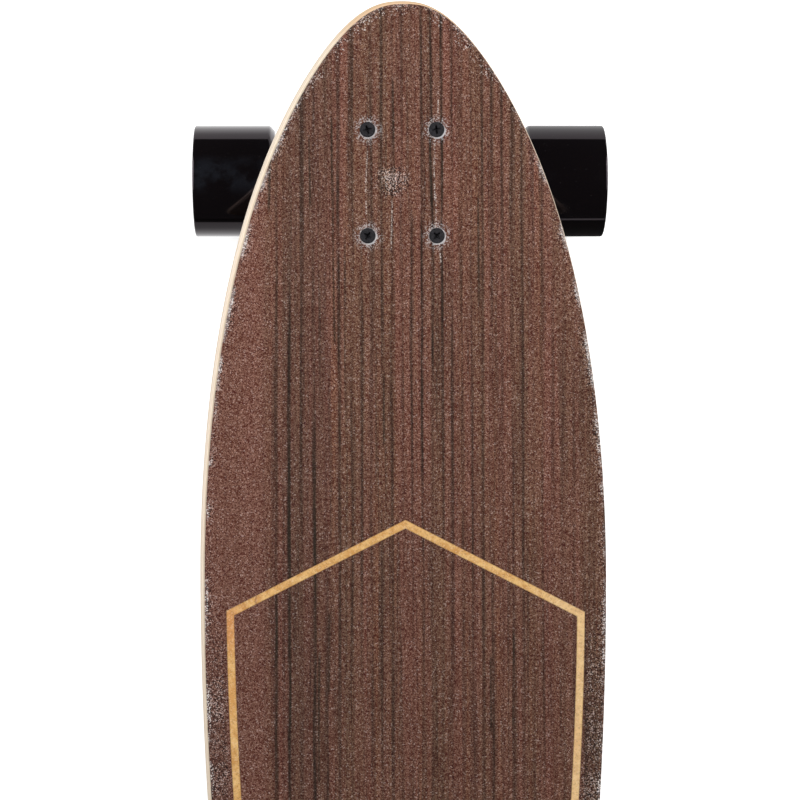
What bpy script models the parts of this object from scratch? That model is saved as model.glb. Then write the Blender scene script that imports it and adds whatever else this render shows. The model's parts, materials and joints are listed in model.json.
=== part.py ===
"""Longboard skateboard: a pressed maple deck on two reverse-kingpin trucks with four wheels.

Units are metres. +Z is up, +Y points to the nose and +X to the rider's right. The origin is on the
floor under the middle of the board.
"""

from math import cos, pi, radians, sin

import bmesh
import bpy
from mathutils import Matrix, Vector

# Driving dimensions: deck
DECK_LENGTH = 0.940
DECK_HALF_WIDTH = 0.1205
DECK_TOP_Z = 0.113
DECK_THICKNESS = 0.012
NOSE_TO_WIDEST = 0.340
NOSE_POWERS = (5.25, 0.416)
NOSE_TAPER = 0.508
TAIL_POWERS = (1.95, 0.62)
CONCAVE_RISE = 0.006
CONCAVE_FLAT = 0.030
OUTLINE_STEPS = 60
SPINE_SHARE = 0.965
TOP_EDGE_DROP = 0.0022
BOTTOM_EDGE_RADIUS = 0.003

# Driving dimensions: top sheet and its inlay, which lie a little to the right on the deck
SHEET_THICKNESS = 0.0010
SHEET_GAP = 0.00015
SHEET_SHIFT = 0.0013
SHEET_MARGIN_SIDE = 0.0015
SHEET_MARGIN_TIP = 0.0030
INLAY_WIDTH = 0.0046
INLAY_DEPTH = 0.0005
INLAY_MARGIN = 0.0140
INLAY_NOSE_APEX = 0.3107
INLAY_NOSE_SHOULDER = 0.3655
INLAY_TAIL_SHOULDER = 0.620
INLAY_TAIL_APEX = 0.675

# Driving dimensions: deck bolts
BOLT_HALF_SPACING_X = 0.02065
BOLT_HALF_SPACING_Y = 0.03175
NOSE_TO_FRONT_PATTERN = 0.1095
TAIL_TO_REAR_PATTERN = 0.140
BOLT_RADIUS = 0.0024
BOLT_HEAD_RADIUS = 0.00435
BOLT_HEAD_DEPTH = 0.0026
BOLT_LENGTH = 0.030
DECK_NUT_HALF_FLATS = 0.00475
DECK_NUT_HEIGHT = 0.0050

# Driving dimensions: truck, in its own frame with +Y outward from the bolt pattern's centre
RISER_THICKNESS = 0.003
PLATE_THICKNESS = 0.006
PLATE_HALF_WIDTH = 0.027
PLATE_HALF_LENGTH = 0.042
AXLE_OUTWARD = 0.010
WHEEL_RADIUS = 0.035
STEER_ANGLE = radians(45)
RING_OUTWARD = 0.015
RING_HEIGHT = 0.063
PIVOT_REACH = 0.037
SEAT_OFFSET = 0.0185
RING_HALF_THICKNESS = 0.0055
KINGPIN_RADIUS = 0.005
KINGPIN_HEAD_BOTTOM = 0.035
KINGPIN_HEAD_TOP = 0.0405
KINGPIN_END = -0.033
BUSHING_RADIUS = 0.012
HANGER_HALF_WIDTH = 0.090
AXLE_RADIUS = 0.004
AXLE_HALF_LENGTH = 0.1245

# Driving dimensions: wheel, along its axle from the wheel's own middle, outward positive
WHEEL_CENTRE_X = 0.103
WHEEL_HALF_WIDTH = 0.0255
CORE_RADIUS = 0.0168
BEARING_RADIUS = 0.011
BEARING_WIDTH = 0.0067
BEARING_OFFSET = 0.00835
TYRE_SIDES = 28

# Clearance between pieces that touch
GAP = 0.0003

DECK_BOTTOM_Z = DECK_TOP_Z - DECK_THICKNESS
WIDEST_Y = DECK_LENGTH / 2 - NOSE_TO_WIDEST
WIDEST_TO_TAIL = DECK_LENGTH - NOSE_TO_WIDEST
FRONT_PATTERN_Y = DECK_LENGTH / 2 - NOSE_TO_FRONT_PATTERN
REAR_PATTERN_Y = TAIL_TO_REAR_PATTERN - DECK_LENGTH / 2
PLATE_TOP_Z = DECK_BOTTOM_Z - RISER_THICKNESS
PLATE_BOTTOM_Z = PLATE_TOP_Z - PLATE_THICKNESS

# Unit vectors of the truck's side view: along the steering axis, and up the kingpin to its head
STEER_AXIS = Vector((0, cos(STEER_ANGLE), sin(STEER_ANGLE)))
KINGPIN_AXIS = Vector((0, -sin(STEER_ANGLE), cos(STEER_ANGLE)))
RING_CENTRE = Vector((0, RING_OUTWARD, RING_HEIGHT))
PIVOT = RING_CENTRE - STEER_AXIS * PIVOT_REACH
AXLE_CENTRE = Vector((0, AXLE_OUTWARD, WHEEL_RADIUS))
STEER_TURN = (STEER_ANGLE - pi / 2, 0, 0)
KINGPIN_TURN = (STEER_ANGLE, 0, 0)
AXLE_TURN = (0, pi / 2, 0)


def clear_scene():
    """Remove every object of the open scene."""
    for item in list(bpy.data.objects):
        bpy.data.objects.remove(item, do_unlink=True)


def finish(name, colour, roughness, metallic=0.0):
    """A Principled material with the piece's colour, roughness and metallic value."""
    material = bpy.data.materials.new(name)
    material.use_nodes = True
    shader = material.node_tree.nodes["Principled BSDF"]
    shader.inputs["Base Color"].default_value = (*colour, 1.0)
    shader.inputs["Roughness"].default_value = roughness
    shader.inputs["Metallic"].default_value = metallic
    return material


def empty(name, location, rotation=(0, 0, 0), parent=None):
    """An empty that carries other objects."""
    holder = bpy.data.objects.new(name, None)
    bpy.context.scene.collection.objects.link(holder)
    holder.location = location
    holder.rotation_euler = rotation
    holder.parent = parent
    return holder


def mesh_from(name, shape):
    """Turn a bmesh into a smooth-shaded mesh with sharp edges where faces meet steeply."""
    bmesh.ops.recalc_face_normals(shape, faces=shape.faces)
    mesh = bpy.data.meshes.new(name)
    shape.to_mesh(mesh)
    shape.free()
    mesh.shade_smooth()
    mesh.set_sharp_from_angle(angle=radians(35))
    return mesh


def piece(name, mesh, material, location=(0, 0, 0), rotation=(0, 0, 0), parent=None):
    """One named sub-part."""
    item = bpy.data.objects.new(name, mesh)
    bpy.context.scene.collection.objects.link(item)
    item.location = location
    item.rotation_euler = rotation
    item.parent = parent
    if not mesh.materials:
        mesh.materials.append(material)
    return item


def helper(name, shape, location=(0, 0, 0), rotation=(0, 0, 0), parent=None):
    """A hidden solid that another piece is cut with or joined to."""
    item = bpy.data.objects.new(name, mesh_from(name, shape))
    bpy.context.scene.collection.objects.link(item)
    item.location = location
    item.rotation_euler = rotation
    item.parent = parent
    item.hide_render = True
    item.display_type = "WIRE"
    return item


def boolean(item, tool, operation):
    """Join a piece to a hidden solid, or cut it with one."""
    modifier = item.modifiers.new(tool.name, "BOOLEAN")
    modifier.operation = operation
    modifier.solver = "EXACT"
    modifier.object = tool


def turned(profile, segments, closed=True):
    """Spin (height, radius) pairs about Z; an open profile starts and ends on the axis."""
    shape = bmesh.new()
    start = Matrix.Rotation(pi / segments, 3, "Z")
    corners = [shape.verts.new(start @ Vector((radius, 0, height))) for height, radius in profile]
    lines = [shape.edges.new(pair) for pair in zip(corners, corners[1:])]
    if closed:
        lines.append(shape.edges.new((corners[-1], corners[0])))
    bmesh.ops.spin(
        shape, geom=corners + lines, cent=(0, 0, 0), axis=(0, 0, 1), steps=segments, angle=2 * pi,
        use_merge=True,
    )
    bmesh.ops.remove_doubles(shape, verts=shape.verts, dist=1e-6)
    return shape


def rod(radius, low, high, segments=16):
    """A plain round solid along Z."""
    return turned([(low, 0), (low, radius), (high, radius), (high, 0)], segments, closed=False)


def rings_solid(rings, closed=False):
    """Bridge equal rings of points; closed joins the last ring to the first, else both are capped."""
    shape = bmesh.new()
    loops = [[shape.verts.new(point) for point in ring] for ring in rings]
    pairs = list(zip(loops, loops[1:]))
    if closed:
        pairs.append((loops[-1], loops[0]))
    for lower, upper in pairs:
        for k in range(len(lower)):
            following = (k + 1) % len(lower)
            shape.faces.new((lower[k], lower[following], upper[following], upper[k]))
    if not closed:
        shape.faces.new(loops[0])
        shape.faces.new(loops[-1])
    return shape


def rounded_rectangle(half_x, half_y, radius, steps=2):
    """The corner points of a rectangle with round corners, counter-clockwise."""
    points = []
    for quarter in range(4):
        centre_x = (half_x - radius) * (1 if quarter in (0, 3) else -1)
        centre_y = (half_y - radius) * (1 if quarter in (0, 1) else -1)
        for step in range(steps + 1):
            angle = (quarter + step / steps) * pi / 2
            points.append((centre_x + radius * cos(angle), centre_y + radius * sin(angle)))
    return points


def slab(points, low, high):
    """A plan outline carried up from one height to another."""
    return rings_solid([[(x, y, height) for x, y in points] for height in (low, high)])


def side_plate(points, half_width, bevel=0.0):
    """A (y, z) side-view outline carried across X, its two faces drawn in by the bevel."""
    middle_y = sum(y for y, z in points) / len(points)
    middle_z = sum(z for y, z in points) / len(points)
    widths = [(-half_width, 1), (half_width, 1)]
    if bevel:
        draw_in = 1 - bevel
        widths = [
            (-half_width, draw_in), (-half_width * draw_in, 1),
            (half_width * draw_in, 1), (half_width, draw_in),
        ]
    rings = [
        [(x, middle_y + (y - middle_y) * size, middle_z + (z - middle_z) * size) for y, z in points]
        for x, size in widths
    ]
    return rings_solid(rings)


def hexagon_ring(half_flats, height, inset=0.0):
    """Twelve points of a hexagon: six corners and the six middles of its flats."""
    points = []
    for k in range(12):
        reach = (half_flats - inset) / (cos(pi / 6) if k % 2 == 0 else 1)
        points.append((reach * cos(k * pi / 6), reach * sin(k * pi / 6), height))
    return points


def round_ring(radius, height):
    """Twelve points of a circle, in step with hexagon_ring."""
    return [(radius * cos(k * pi / 6), radius * sin(k * pi / 6), height) for k in range(12)]


def lock_nut(half_flats, height, bore_radius, collar):
    """A hexagon nut with a bore and a round collar above its hexagon."""
    rings = [
        hexagon_ring(half_flats, 0),
        hexagon_ring(half_flats, height - collar),
        round_ring(half_flats * 0.84, height),
        round_ring(bore_radius, height),
        round_ring(bore_radius, 0),
    ]
    return rings_solid(rings, closed=True)


def deck_rise(x):
    """How far the deck's concave lifts its surface at x: flat in the middle, then a parabola."""
    return CONCAVE_RISE * (max(0.0, abs(x) - CONCAVE_FLAT) / (DECK_HALF_WIDTH - CONCAVE_FLAT)) ** 2


def deck_half_width(y):
    """Half the deck's width at y: a tapered superellipse to the nose and a plain one to the tail."""
    if y >= WIDEST_Y:
        along = min(1.0, (y - WIDEST_Y) / NOSE_TO_WIDEST)
        power, root = NOSE_POWERS
        taper = 1 - NOSE_TAPER * along ** 2
    else:
        along = min(1.0, (WIDEST_Y - y) / WIDEST_TO_TAIL)
        power, root = TAIL_POWERS
        taper = 1
    return DECK_HALF_WIDTH * taper * (1 - along ** power) ** root


def deck_outline():
    """Points round the deck, nose tip first and clockwise from above, with their outward normals."""
    half = OUTLINE_STEPS // 2
    right_side = []
    for k in range(half + 1):
        height = sin(pi / 2 - k * pi / half)
        run = NOSE_TO_WIDEST if height > 0 else WIDEST_TO_TAIL
        y = WIDEST_Y + run * height
        right_side.append(Vector((deck_half_width(y), y)))
    left_side = [Vector((-point.x, point.y)) for point in reversed(right_side[1:-1])]
    points = right_side + left_side
    normals = []
    for k in range(len(points)):
        along = points[(k + 1) % len(points)] - points[k - 1]
        normals.append(Vector((-along.y, along.x)).normalized())
    return points, normals


def sheet_margin(normal):
    """How far inside the deck's outline the top sheet ends, wider at the tips and on the left."""
    towards_tip = min(1.0, abs(normal.y) / 0.25)
    margin = SHEET_MARGIN_SIDE + (SHEET_MARGIN_TIP - SHEET_MARGIN_SIDE) * towards_tip
    return margin - SHEET_SHIFT * normal.x


def bottom_margin(normal):
    """How far inside the outline the deck's flat underside ends."""
    return BOTTOM_EDGE_RADIUS


def deck_layer(levels):
    """A solid of the deck's plan. Each level is (share from spine to edge, margin, rounding, drop).

    The rings run from the top's spine out over the edge and back to the underside's spine. rounding
    is how much of the margin is kept: 1 at the flat's edge and 0 on the deck's outermost line.
    """
    points, normals = deck_outline()
    count = len(points)
    half = count // 2
    shape = bmesh.new()

    def corner(k, share, margin, rounding, drop):
        spine = Vector((0, points[k].y * SPINE_SHARE))
        edge = points[k] - normals[k] * margin(normals[k]) * rounding
        place = spine.lerp(edge, share)
        return shape.verts.new((place.x, place.y, DECK_TOP_Z - drop + deck_rise(place.x)))

    loops = []
    for share, margin, rounding, drop in levels:
        if share == 0:
            spine = [corner(k, share, margin, rounding, drop) for k in range(half + 1)]
            loops.append([spine[min(k, count - k)] for k in range(count)])
        else:
            loops.append([corner(k, share, margin, rounding, drop) for k in range(count)])
    for inner, outer in zip(loops, loops[1:]):
        for k in range(count):
            following = (k + 1) % count
            shape.faces.new((inner[k], inner[following], outer[following], outer[k]))
    return shape


def bolt_places():
    """The eight deck bolts as (name, x, y), front truck first."""
    places = []
    for end, middle_y in (("front", FRONT_PATTERN_Y), ("rear", REAR_PATTERN_Y)):
        for row, along in (("nose", 1), ("tail", -1)):
            for side, across in (("left", -1), ("right", 1)):
                name = f"{end}_{side}_{row}"
                x = across * BOLT_HALF_SPACING_X
                places.append((name, x, middle_y + along * BOLT_HALF_SPACING_Y))
    return places


def bolt_hole_cutter():
    """Eight countersunk holes right through the deck, as one hidden solid."""
    room = BOLT_RADIUS + GAP
    head = BOLT_HEAD_RADIUS + GAP
    top = DECK_TOP_Z + 0.005
    profile = [
        (DECK_BOTTOM_Z - 0.005, 0), (DECK_BOTTOM_Z - 0.005, room),
        (DECK_TOP_Z - BOLT_HEAD_DEPTH - GAP, room), (DECK_TOP_Z - GAP, head), (top, head), (top, 0),
    ]
    cutter = bmesh.new()
    for name, x, y in bolt_places():
        hole = turned(profile, 12, closed=False)
        bmesh.ops.translate(hole, verts=hole.verts, vec=(x, y, 0))
        single = bpy.data.meshes.new(name)
        hole.to_mesh(single)
        hole.free()
        cutter.from_mesh(single)
        bpy.data.meshes.remove(single)
    return helper("bolt_holes", cutter)


def inlay_outline():
    """The inlay's outer line: two straight shoulders at each end, and sides beside the deck's edge."""
    nose_y = DECK_LENGTH / 2
    shoulder_ys = (nose_y - INLAY_NOSE_SHOULDER, nose_y - INLAY_TAIL_SHOULDER)
    steps = 8
    right_side = []
    for k in range(steps + 1):
        y = shoulder_ys[0] + (shoulder_ys[1] - shoulder_ys[0]) * k / steps
        right_side.append((deck_half_width(y) - INLAY_MARGIN, y))
    left_side = [(-x, y) for x, y in reversed(right_side)]
    nose_run = straight_run((0, nose_y - INLAY_NOSE_APEX), right_side[0])
    tail_run = straight_run(right_side[-1], (0, nose_y - INLAY_TAIL_APEX))
    tail_return = straight_run((0, nose_y - INLAY_TAIL_APEX), left_side[0])
    nose_return = straight_run(left_side[-1], (0, nose_y - INLAY_NOSE_APEX))
    points = nose_run + right_side[:-1] + tail_run + tail_return + left_side[:-1] + nose_return
    return [Vector((x + SHEET_SHIFT, y)) for x, y in points]


def straight_run(start, end, steps=4):
    """Points on a straight line, its start kept and its end left to the next run."""
    return [
        (start[0] + (end[0] - start[0]) * k / steps, start[1] + (end[1] - start[1]) * k / steps)
        for k in range(steps)
    ]


def drawn_in(points, distance):
    """A clockwise outline moved inwards by a distance, with mitred corners."""
    moved = []
    for k, point in enumerate(points):
        before = (point - points[k - 1]).normalized()
        after = (points[(k + 1) % len(points)] - point).normalized()
        inward_before = Vector((before.y, -before.x))
        inward_after = Vector((after.y, -after.x))
        mitre = (inward_before + inward_after).normalized()
        moved.append(point + mitre * (distance / mitre.dot(inward_before)))
    return moved


def inlay_strip(spread, low, high):
    """The inlay's closed strip, grown sideways by spread, between two drops below the surface."""
    line = inlay_outline()
    outer = drawn_in(line, -spread)
    inner = drawn_in(line, INLAY_WIDTH + spread)
    rings = []
    for points, drop in ((outer, low), (outer, high), (inner, high), (inner, low)):
        rings.append([(p.x, p.y, DECK_TOP_Z - drop + deck_rise(p.x)) for p in points])
    return rings_solid(rings, closed=True)


def build_deck():
    """The plywood deck, the top sheet let in flush on it and the inlay let into the sheet."""
    core_top = SHEET_THICKNESS + SHEET_GAP
    shares = (0, 0.25, 0.5, 0.75, 1)
    top = [(share, sheet_margin, 1, core_top) for share in shares]
    top_edge = [
        (1, sheet_margin, 1 - sin(angle), core_top + TOP_EDGE_DROP * (1 - cos(angle)))
        for angle in (radians(45), radians(90))
    ]
    bottom_edge = [
        (1, bottom_margin, 1 - cos(angle), DECK_THICKNESS - BOTTOM_EDGE_RADIUS * (1 - sin(angle)))
        for angle in (0, radians(45), radians(90))
    ]
    bottom = [(share, bottom_margin, 1, DECK_THICKNESS) for share in (0.65, 0.3, 0)]
    core_shape = deck_layer(top + top_edge + bottom_edge + bottom)
    maple = finish("maple_ply", (0.83, 0.66, 0.46), 0.5)
    core = piece("deck", mesh_from("deck", core_shape), maple)

    face = [(share, sheet_margin, 1, 0.0) for share in shares]
    back = [(share, sheet_margin, 1, SHEET_THICKNESS) for share in reversed(shares)]
    dark = finish("dark_veneer", (0.17, 0.08, 0.06), 0.7)
    sheet = piece("top_sheet", mesh_from("top_sheet", deck_layer(face + back)), dark)

    holes = bolt_hole_cutter()
    groove = helper("inlay_groove", inlay_strip(SHEET_GAP, INLAY_DEPTH, -0.002))
    boolean(core, holes, "DIFFERENCE")
    boolean(sheet, holes, "DIFFERENCE")
    boolean(sheet, groove, "DIFFERENCE")

    amber = finish("inlay_maple", (0.72, 0.42, 0.16), 0.5)
    strip = inlay_strip(0.0, INLAY_DEPTH - SHEET_GAP, 0.0)
    piece("inlay_stripe", mesh_from("inlay_stripe", strip), amber)


def cross_recess():
    """The tapered cross that a screwdriver fits, cut down from the bolt head's face at z = 0."""
    rings = []
    for height, size in ((0.0005, 1.0), (-0.0017, 0.45)):
        arm = BOLT_HEAD_RADIUS * 0.56 * size
        half = BOLT_HEAD_RADIUS * 0.15
        corners = [
            (half, half), (half, arm), (-half, arm), (-half, half), (-arm, half), (-arm, -half),
            (-half, -half), (-half, -arm), (half, -arm), (half, -half), (arm, -half), (arm, half),
        ]
        rings.append([(x, y, height) for x, y in corners])
    return rings_solid(rings)


def bolt_mesh():
    """A flat-head bolt with a cross recess, its face at z = 0."""
    profile = [
        (0, 0), (0, BOLT_HEAD_RADIUS), (-BOLT_HEAD_DEPTH, BOLT_RADIUS),
        (-BOLT_LENGTH, BOLT_RADIUS), (-BOLT_LENGTH, 0),
    ]
    blank = helper("bolt_blank", turned(profile, 12, closed=False))
    recess = helper("bolt_recess", cross_recess())
    boolean(blank, recess, "DIFFERENCE")
    graph = bpy.context.evaluated_depsgraph_get()
    mesh = bpy.data.meshes.new_from_object(blank.evaluated_get(graph))
    mesh.name = "deck_bolt"
    return mesh


def build_deck_fasteners():
    """Eight bolts down through deck, riser and baseplate, each with its lock nut."""
    black = finish("black_bolt", (0.02, 0.02, 0.02), 0.35, 0.9)
    zinc = finish("zinc_nut", (0.62, 0.62, 0.60), 0.35, 1.0)
    bolts = bolt_mesh()
    nut = lock_nut(DECK_NUT_HALF_FLATS, DECK_NUT_HEIGHT, BOLT_RADIUS + GAP, 0.0012)
    nuts = mesh_from("deck_nut", nut)
    for name, x, y in bolt_places():
        piece(f"deck_bolt_{name}", bolts, black, (x, y, DECK_TOP_Z))
        under = (x, y, PLATE_BOTTOM_Z - GAP)
        piece(f"deck_nut_{name}", nuts, zinc, under, (pi, 0, 0))


def truck_bolt_cutter(name, low, high, truck):
    """Four vertical bolt holes in the truck's frame, as one hidden solid."""
    cutter = bmesh.new()
    for x in (-BOLT_HALF_SPACING_X, BOLT_HALF_SPACING_X):
        for y in (-BOLT_HALF_SPACING_Y, BOLT_HALF_SPACING_Y):
            start = Matrix.Translation((x, y, (low + high) / 2))
            bmesh.ops.create_cone(
                cutter, cap_ends=True, segments=12, radius1=BOLT_RADIUS + GAP,
                radius2=BOLT_RADIUS + GAP, depth=high - low, matrix=start,
            )
    return helper(name, cutter, parent=truck)


def side_point(origin, along_steer, up_kingpin):
    """A (y, z) point of the side view, measured from origin along the truck's two slanted axes."""
    place = origin + STEER_AXIS * along_steer + KINGPIN_AXIS * up_kingpin
    return (place.y, place.z)


def build_baseplate(end, truck, metal):
    """The cast baseplate: flat plate, slanted bushing seat, and the tower that holds the pivot cup."""
    plan = rounded_rectangle(PLATE_HALF_WIDTH, PLATE_HALF_LENGTH, 0.008)
    plate_shape = slab(plan, PLATE_BOTTOM_Z, PLATE_TOP_Z - GAP)
    plate = piece(f"{end}_baseplate", mesh_from("baseplate", plate_shape), metal, parent=truck)

    into_plate = PLATE_BOTTOM_Z + 0.003
    seat_run = (into_plate - RING_CENTRE.z - KINGPIN_AXIS.z * (SEAT_OFFSET + 0.001)) / STEER_AXIS.z
    body_outline = [
        side_point(RING_CENTRE, seat_run, SEAT_OFFSET + 0.001),
        side_point(PIVOT, 0.0020, SEAT_OFFSET + 0.001),
        side_point(PIVOT, 0.0020, 0.0050),
        side_point(PIVOT, -0.0080, 0.0040),
        (-0.0300, 0.0520),
        (-0.0385, into_plate),
    ]
    body = helper(f"{end}_baseplate_body", side_plate(body_outline, 0.0125, 0.12), parent=truck)
    seat_profile = [(SEAT_OFFSET, 0), (SEAT_OFFSET, 0.0140), (0.030, 0.0155), (0.030, 0)]
    seat_shape = turned(seat_profile, 16, closed=False)
    seat = helper(f"{end}_bushing_seat", seat_shape, RING_CENTRE, KINGPIN_TURN, truck)
    tower_profile = [
        (0.0026, 0), (0.0026, 0.0094), (-0.0085, 0.0100), (-0.0110, 0.0080), (-0.0110, 0),
    ]
    tower_shape = turned(tower_profile, 16, closed=False)
    tower = helper(f"{end}_pivot_tower", tower_shape, PIVOT, STEER_TURN, truck)
    for joined in (body, seat, tower):
        boolean(plate, joined, "UNION")

    bore_shape = rod(KINGPIN_RADIUS + GAP, 0.010, 0.060, 16)
    bore = helper(f"{end}_kingpin_bore", bore_shape, RING_CENTRE, KINGPIN_TURN, truck)
    pocket_shape = rod(0.0092, KINGPIN_HEAD_BOTTOM - GAP, 0.070, 16)
    pocket = helper(f"{end}_kingpin_pocket", pocket_shape, RING_CENTRE, KINGPIN_TURN, truck)
    cup_shape = rod(0.0076, -0.0083, 0.010, 16)
    cup_bore = helper(f"{end}_cup_bore", cup_shape, PIVOT, STEER_TURN, truck)
    holes = truck_bolt_cutter(f"{end}_plate_holes", PLATE_BOTTOM_Z - 0.02, PLATE_TOP_Z + 0.01, truck)
    for cut in (bore, pocket, cup_bore, holes):
        boolean(plate, cut, "DIFFERENCE")


def build_riser(end, truck, rubber):
    """The rubber pad between deck and baseplate."""
    plan = rounded_rectangle(PLATE_HALF_WIDTH + 0.001, PLATE_HALF_LENGTH + 0.001, 0.009)
    shape = slab(plan, PLATE_TOP_Z, DECK_BOTTOM_Z - GAP)
    riser = piece(f"{end}_riser_pad", mesh_from("riser_pad", shape), rubber, parent=truck)
    holes = truck_bolt_cutter(f"{end}_riser_holes", PLATE_TOP_Z - 0.01, DECK_BOTTOM_Z + 0.01, truck)
    boolean(riser, holes, "DIFFERENCE")


def build_kingpin_stack(end, truck, steel, zinc, urethane):
    """Kingpin, bushings above and below the hanger's ring, cup washer, nut and pivot cup."""
    head = [
        (KINGPIN_END, 0), (KINGPIN_END, KINGPIN_RADIUS - 0.0008), (KINGPIN_END + 0.0008, KINGPIN_RADIUS),
        (KINGPIN_HEAD_BOTTOM, KINGPIN_RADIUS), (KINGPIN_HEAD_BOTTOM, 0.0085),
        (KINGPIN_HEAD_TOP - 0.0015, 0.0085), (KINGPIN_HEAD_TOP, 0.0070), (KINGPIN_HEAD_TOP, 0),
    ]
    kingpin = mesh_from("kingpin", turned(head, 16, closed=False))
    piece(f"{end}_kingpin", kingpin, steel, RING_CENTRE, KINGPIN_TURN, truck)

    bore = KINGPIN_RADIUS + GAP
    face = RING_HALF_THICKNESS + GAP
    seat = SEAT_OFFSET - GAP
    barrel = [
        (face, bore), (face, BUSHING_RADIUS - 0.001), (face + 0.001, BUSHING_RADIUS),
        (seat - 0.001, BUSHING_RADIUS), (seat, BUSHING_RADIUS - 0.001), (seat, bore),
    ]
    board_mesh = mesh_from("boardside_bushing", turned(barrel, 16))
    piece(f"{end}_boardside_bushing", board_mesh, urethane, RING_CENTRE, KINGPIN_TURN, truck)

    road_end = -0.0165
    cone = [
        (-face, bore), (-face, BUSHING_RADIUS), (-face - 0.0015, BUSHING_RADIUS),
        (road_end, 0.0098), (road_end, bore),
    ]
    road_mesh = mesh_from("roadside_bushing", turned(cone, 16))
    piece(f"{end}_roadside_bushing", road_mesh, urethane, RING_CENTRE, KINGPIN_TURN, truck)

    washer_end = road_end - GAP - 0.0018
    cup = [
        (road_end - GAP, bore), (road_end - GAP, 0.0101), (road_end + 0.0008, 0.0104),
        (road_end + 0.0008, 0.0114), (washer_end, 0.0110), (washer_end, bore),
    ]
    washer_mesh = mesh_from("cup_washer", turned(cup, 16))
    piece(f"{end}_cup_washer", washer_mesh, zinc, RING_CENTRE, KINGPIN_TURN, truck)

    nut_mesh = mesh_from("kingpin_nut", lock_nut(0.0072, 0.0095, bore, 0.0022))
    nut_place = RING_CENTRE + KINGPIN_AXIS * (washer_end - GAP)
    piece(f"{end}_kingpin_nut", nut_mesh, zinc, nut_place, (STEER_ANGLE + pi, 0, 0), truck)

    cup_profile = [
        (-0.0080, 0), (-0.0080, 0.0062), (-0.0068, 0.0073), (0.0022, 0.0073), (0.0022, 0.0053),
        (-0.0015, 0.0053), (-0.0050, 0.0036), (-0.0056, 0),
    ]
    pivot_cup = mesh_from("pivot_cup", turned(cup_profile, 16, closed=False))
    piece(f"{end}_pivot_cup", pivot_cup, urethane, PIVOT, STEER_TURN, truck)


def hanger_web():
    """The hanger's web: full between housing, ring and nose, and tapering out along the housing."""
    section = [
        (0.0300, 0.0035), (0.0300, -0.0045), (0.0242, -0.0050), (0.0205, -0.0100),
        (0.0120, -0.0160), (0.0080, -0.0100), (0.0095, 0.0010), (0.0160, 0.0035),
    ]
    housing = AXLE_CENTRE - PIVOT
    rings = []
    for x, size in ((-0.062, 0.25), (-0.006, 1), (0.006, 1), (0.062, 0.25)):
        ring = []
        for along_steer, up_kingpin in section:
            y, z = side_point(Vector(), along_steer, up_kingpin)
            ring.append((x, housing.y + (y - housing.y) * size, housing.z + (z - housing.z) * size))
        rings.append(ring)
    return rings_solid(rings)


def build_hanger(end, steer, metal):
    """The cast hanger: axle housing, ring round the kingpin, and the nose that turns in its cup."""
    to_steer = -PIVOT
    half = HANGER_HALF_WIDTH
    housing_profile = [
        (-half, 0), (-half, 0.0074), (-half + 0.0015, 0.0082), (-0.050, 0.0086), (-0.020, 0.0095),
        (0.020, 0.0095), (0.050, 0.0086), (half - 0.0015, 0.0082), (half, 0.0074), (half, 0),
    ]
    housing_shape = turned(housing_profile, 16, closed=False)
    bmesh.ops.rotate(housing_shape, verts=housing_shape.verts, matrix=Matrix.Rotation(pi / 2, 3, "Y"))
    bmesh.ops.translate(housing_shape, verts=housing_shape.verts, vec=AXLE_CENTRE + to_steer)
    hanger = piece(f"{end}_hanger", mesh_from("hanger", housing_shape), metal, parent=steer)

    ring_shape = turned(
        [(-RING_HALF_THICKNESS, 0), (-RING_HALF_THICKNESS, 0.0125), (0, 0.0145),
         (RING_HALF_THICKNESS, 0.0125), (RING_HALF_THICKNESS, 0)], 16, closed=False)
    ring = helper(f"{end}_ring_boss", ring_shape, RING_CENTRE + to_steer, KINGPIN_TURN, steer)
    nose_profile = [
        (-0.0046, 0), (-0.0038, 0.0026), (-0.0015, 0.0045), (0.0050, 0.0047), (0.0090, 0.0068),
        (PIVOT_REACH - 0.0134, 0.0070), (PIVOT_REACH - 0.0124, 0.0048),
        (PIVOT_REACH - 0.006, 0.0048), (PIVOT_REACH - 0.006, 0),
    ]
    nose_shape = turned(nose_profile, 12, closed=False)
    nose = helper(f"{end}_hanger_nose", nose_shape, (0, 0, 0), STEER_TURN, steer)
    web = helper(f"{end}_hanger_web", hanger_web(), parent=steer)
    for joined in (ring, nose, web):
        boolean(hanger, joined, "UNION")

    hole_shape = rod(0.0078, -0.012, 0.012)
    hole = helper(f"{end}_ring_hole", hole_shape, RING_CENTRE + to_steer, KINGPIN_TURN, steer)
    bore_shape = rod(AXLE_RADIUS + GAP, -0.1, 0.1)
    bore = helper(f"{end}_axle_bore", bore_shape, AXLE_CENTRE + to_steer, AXLE_TURN, steer)
    for cut in (hole, bore):
        boolean(hanger, cut, "DIFFERENCE")


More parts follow.
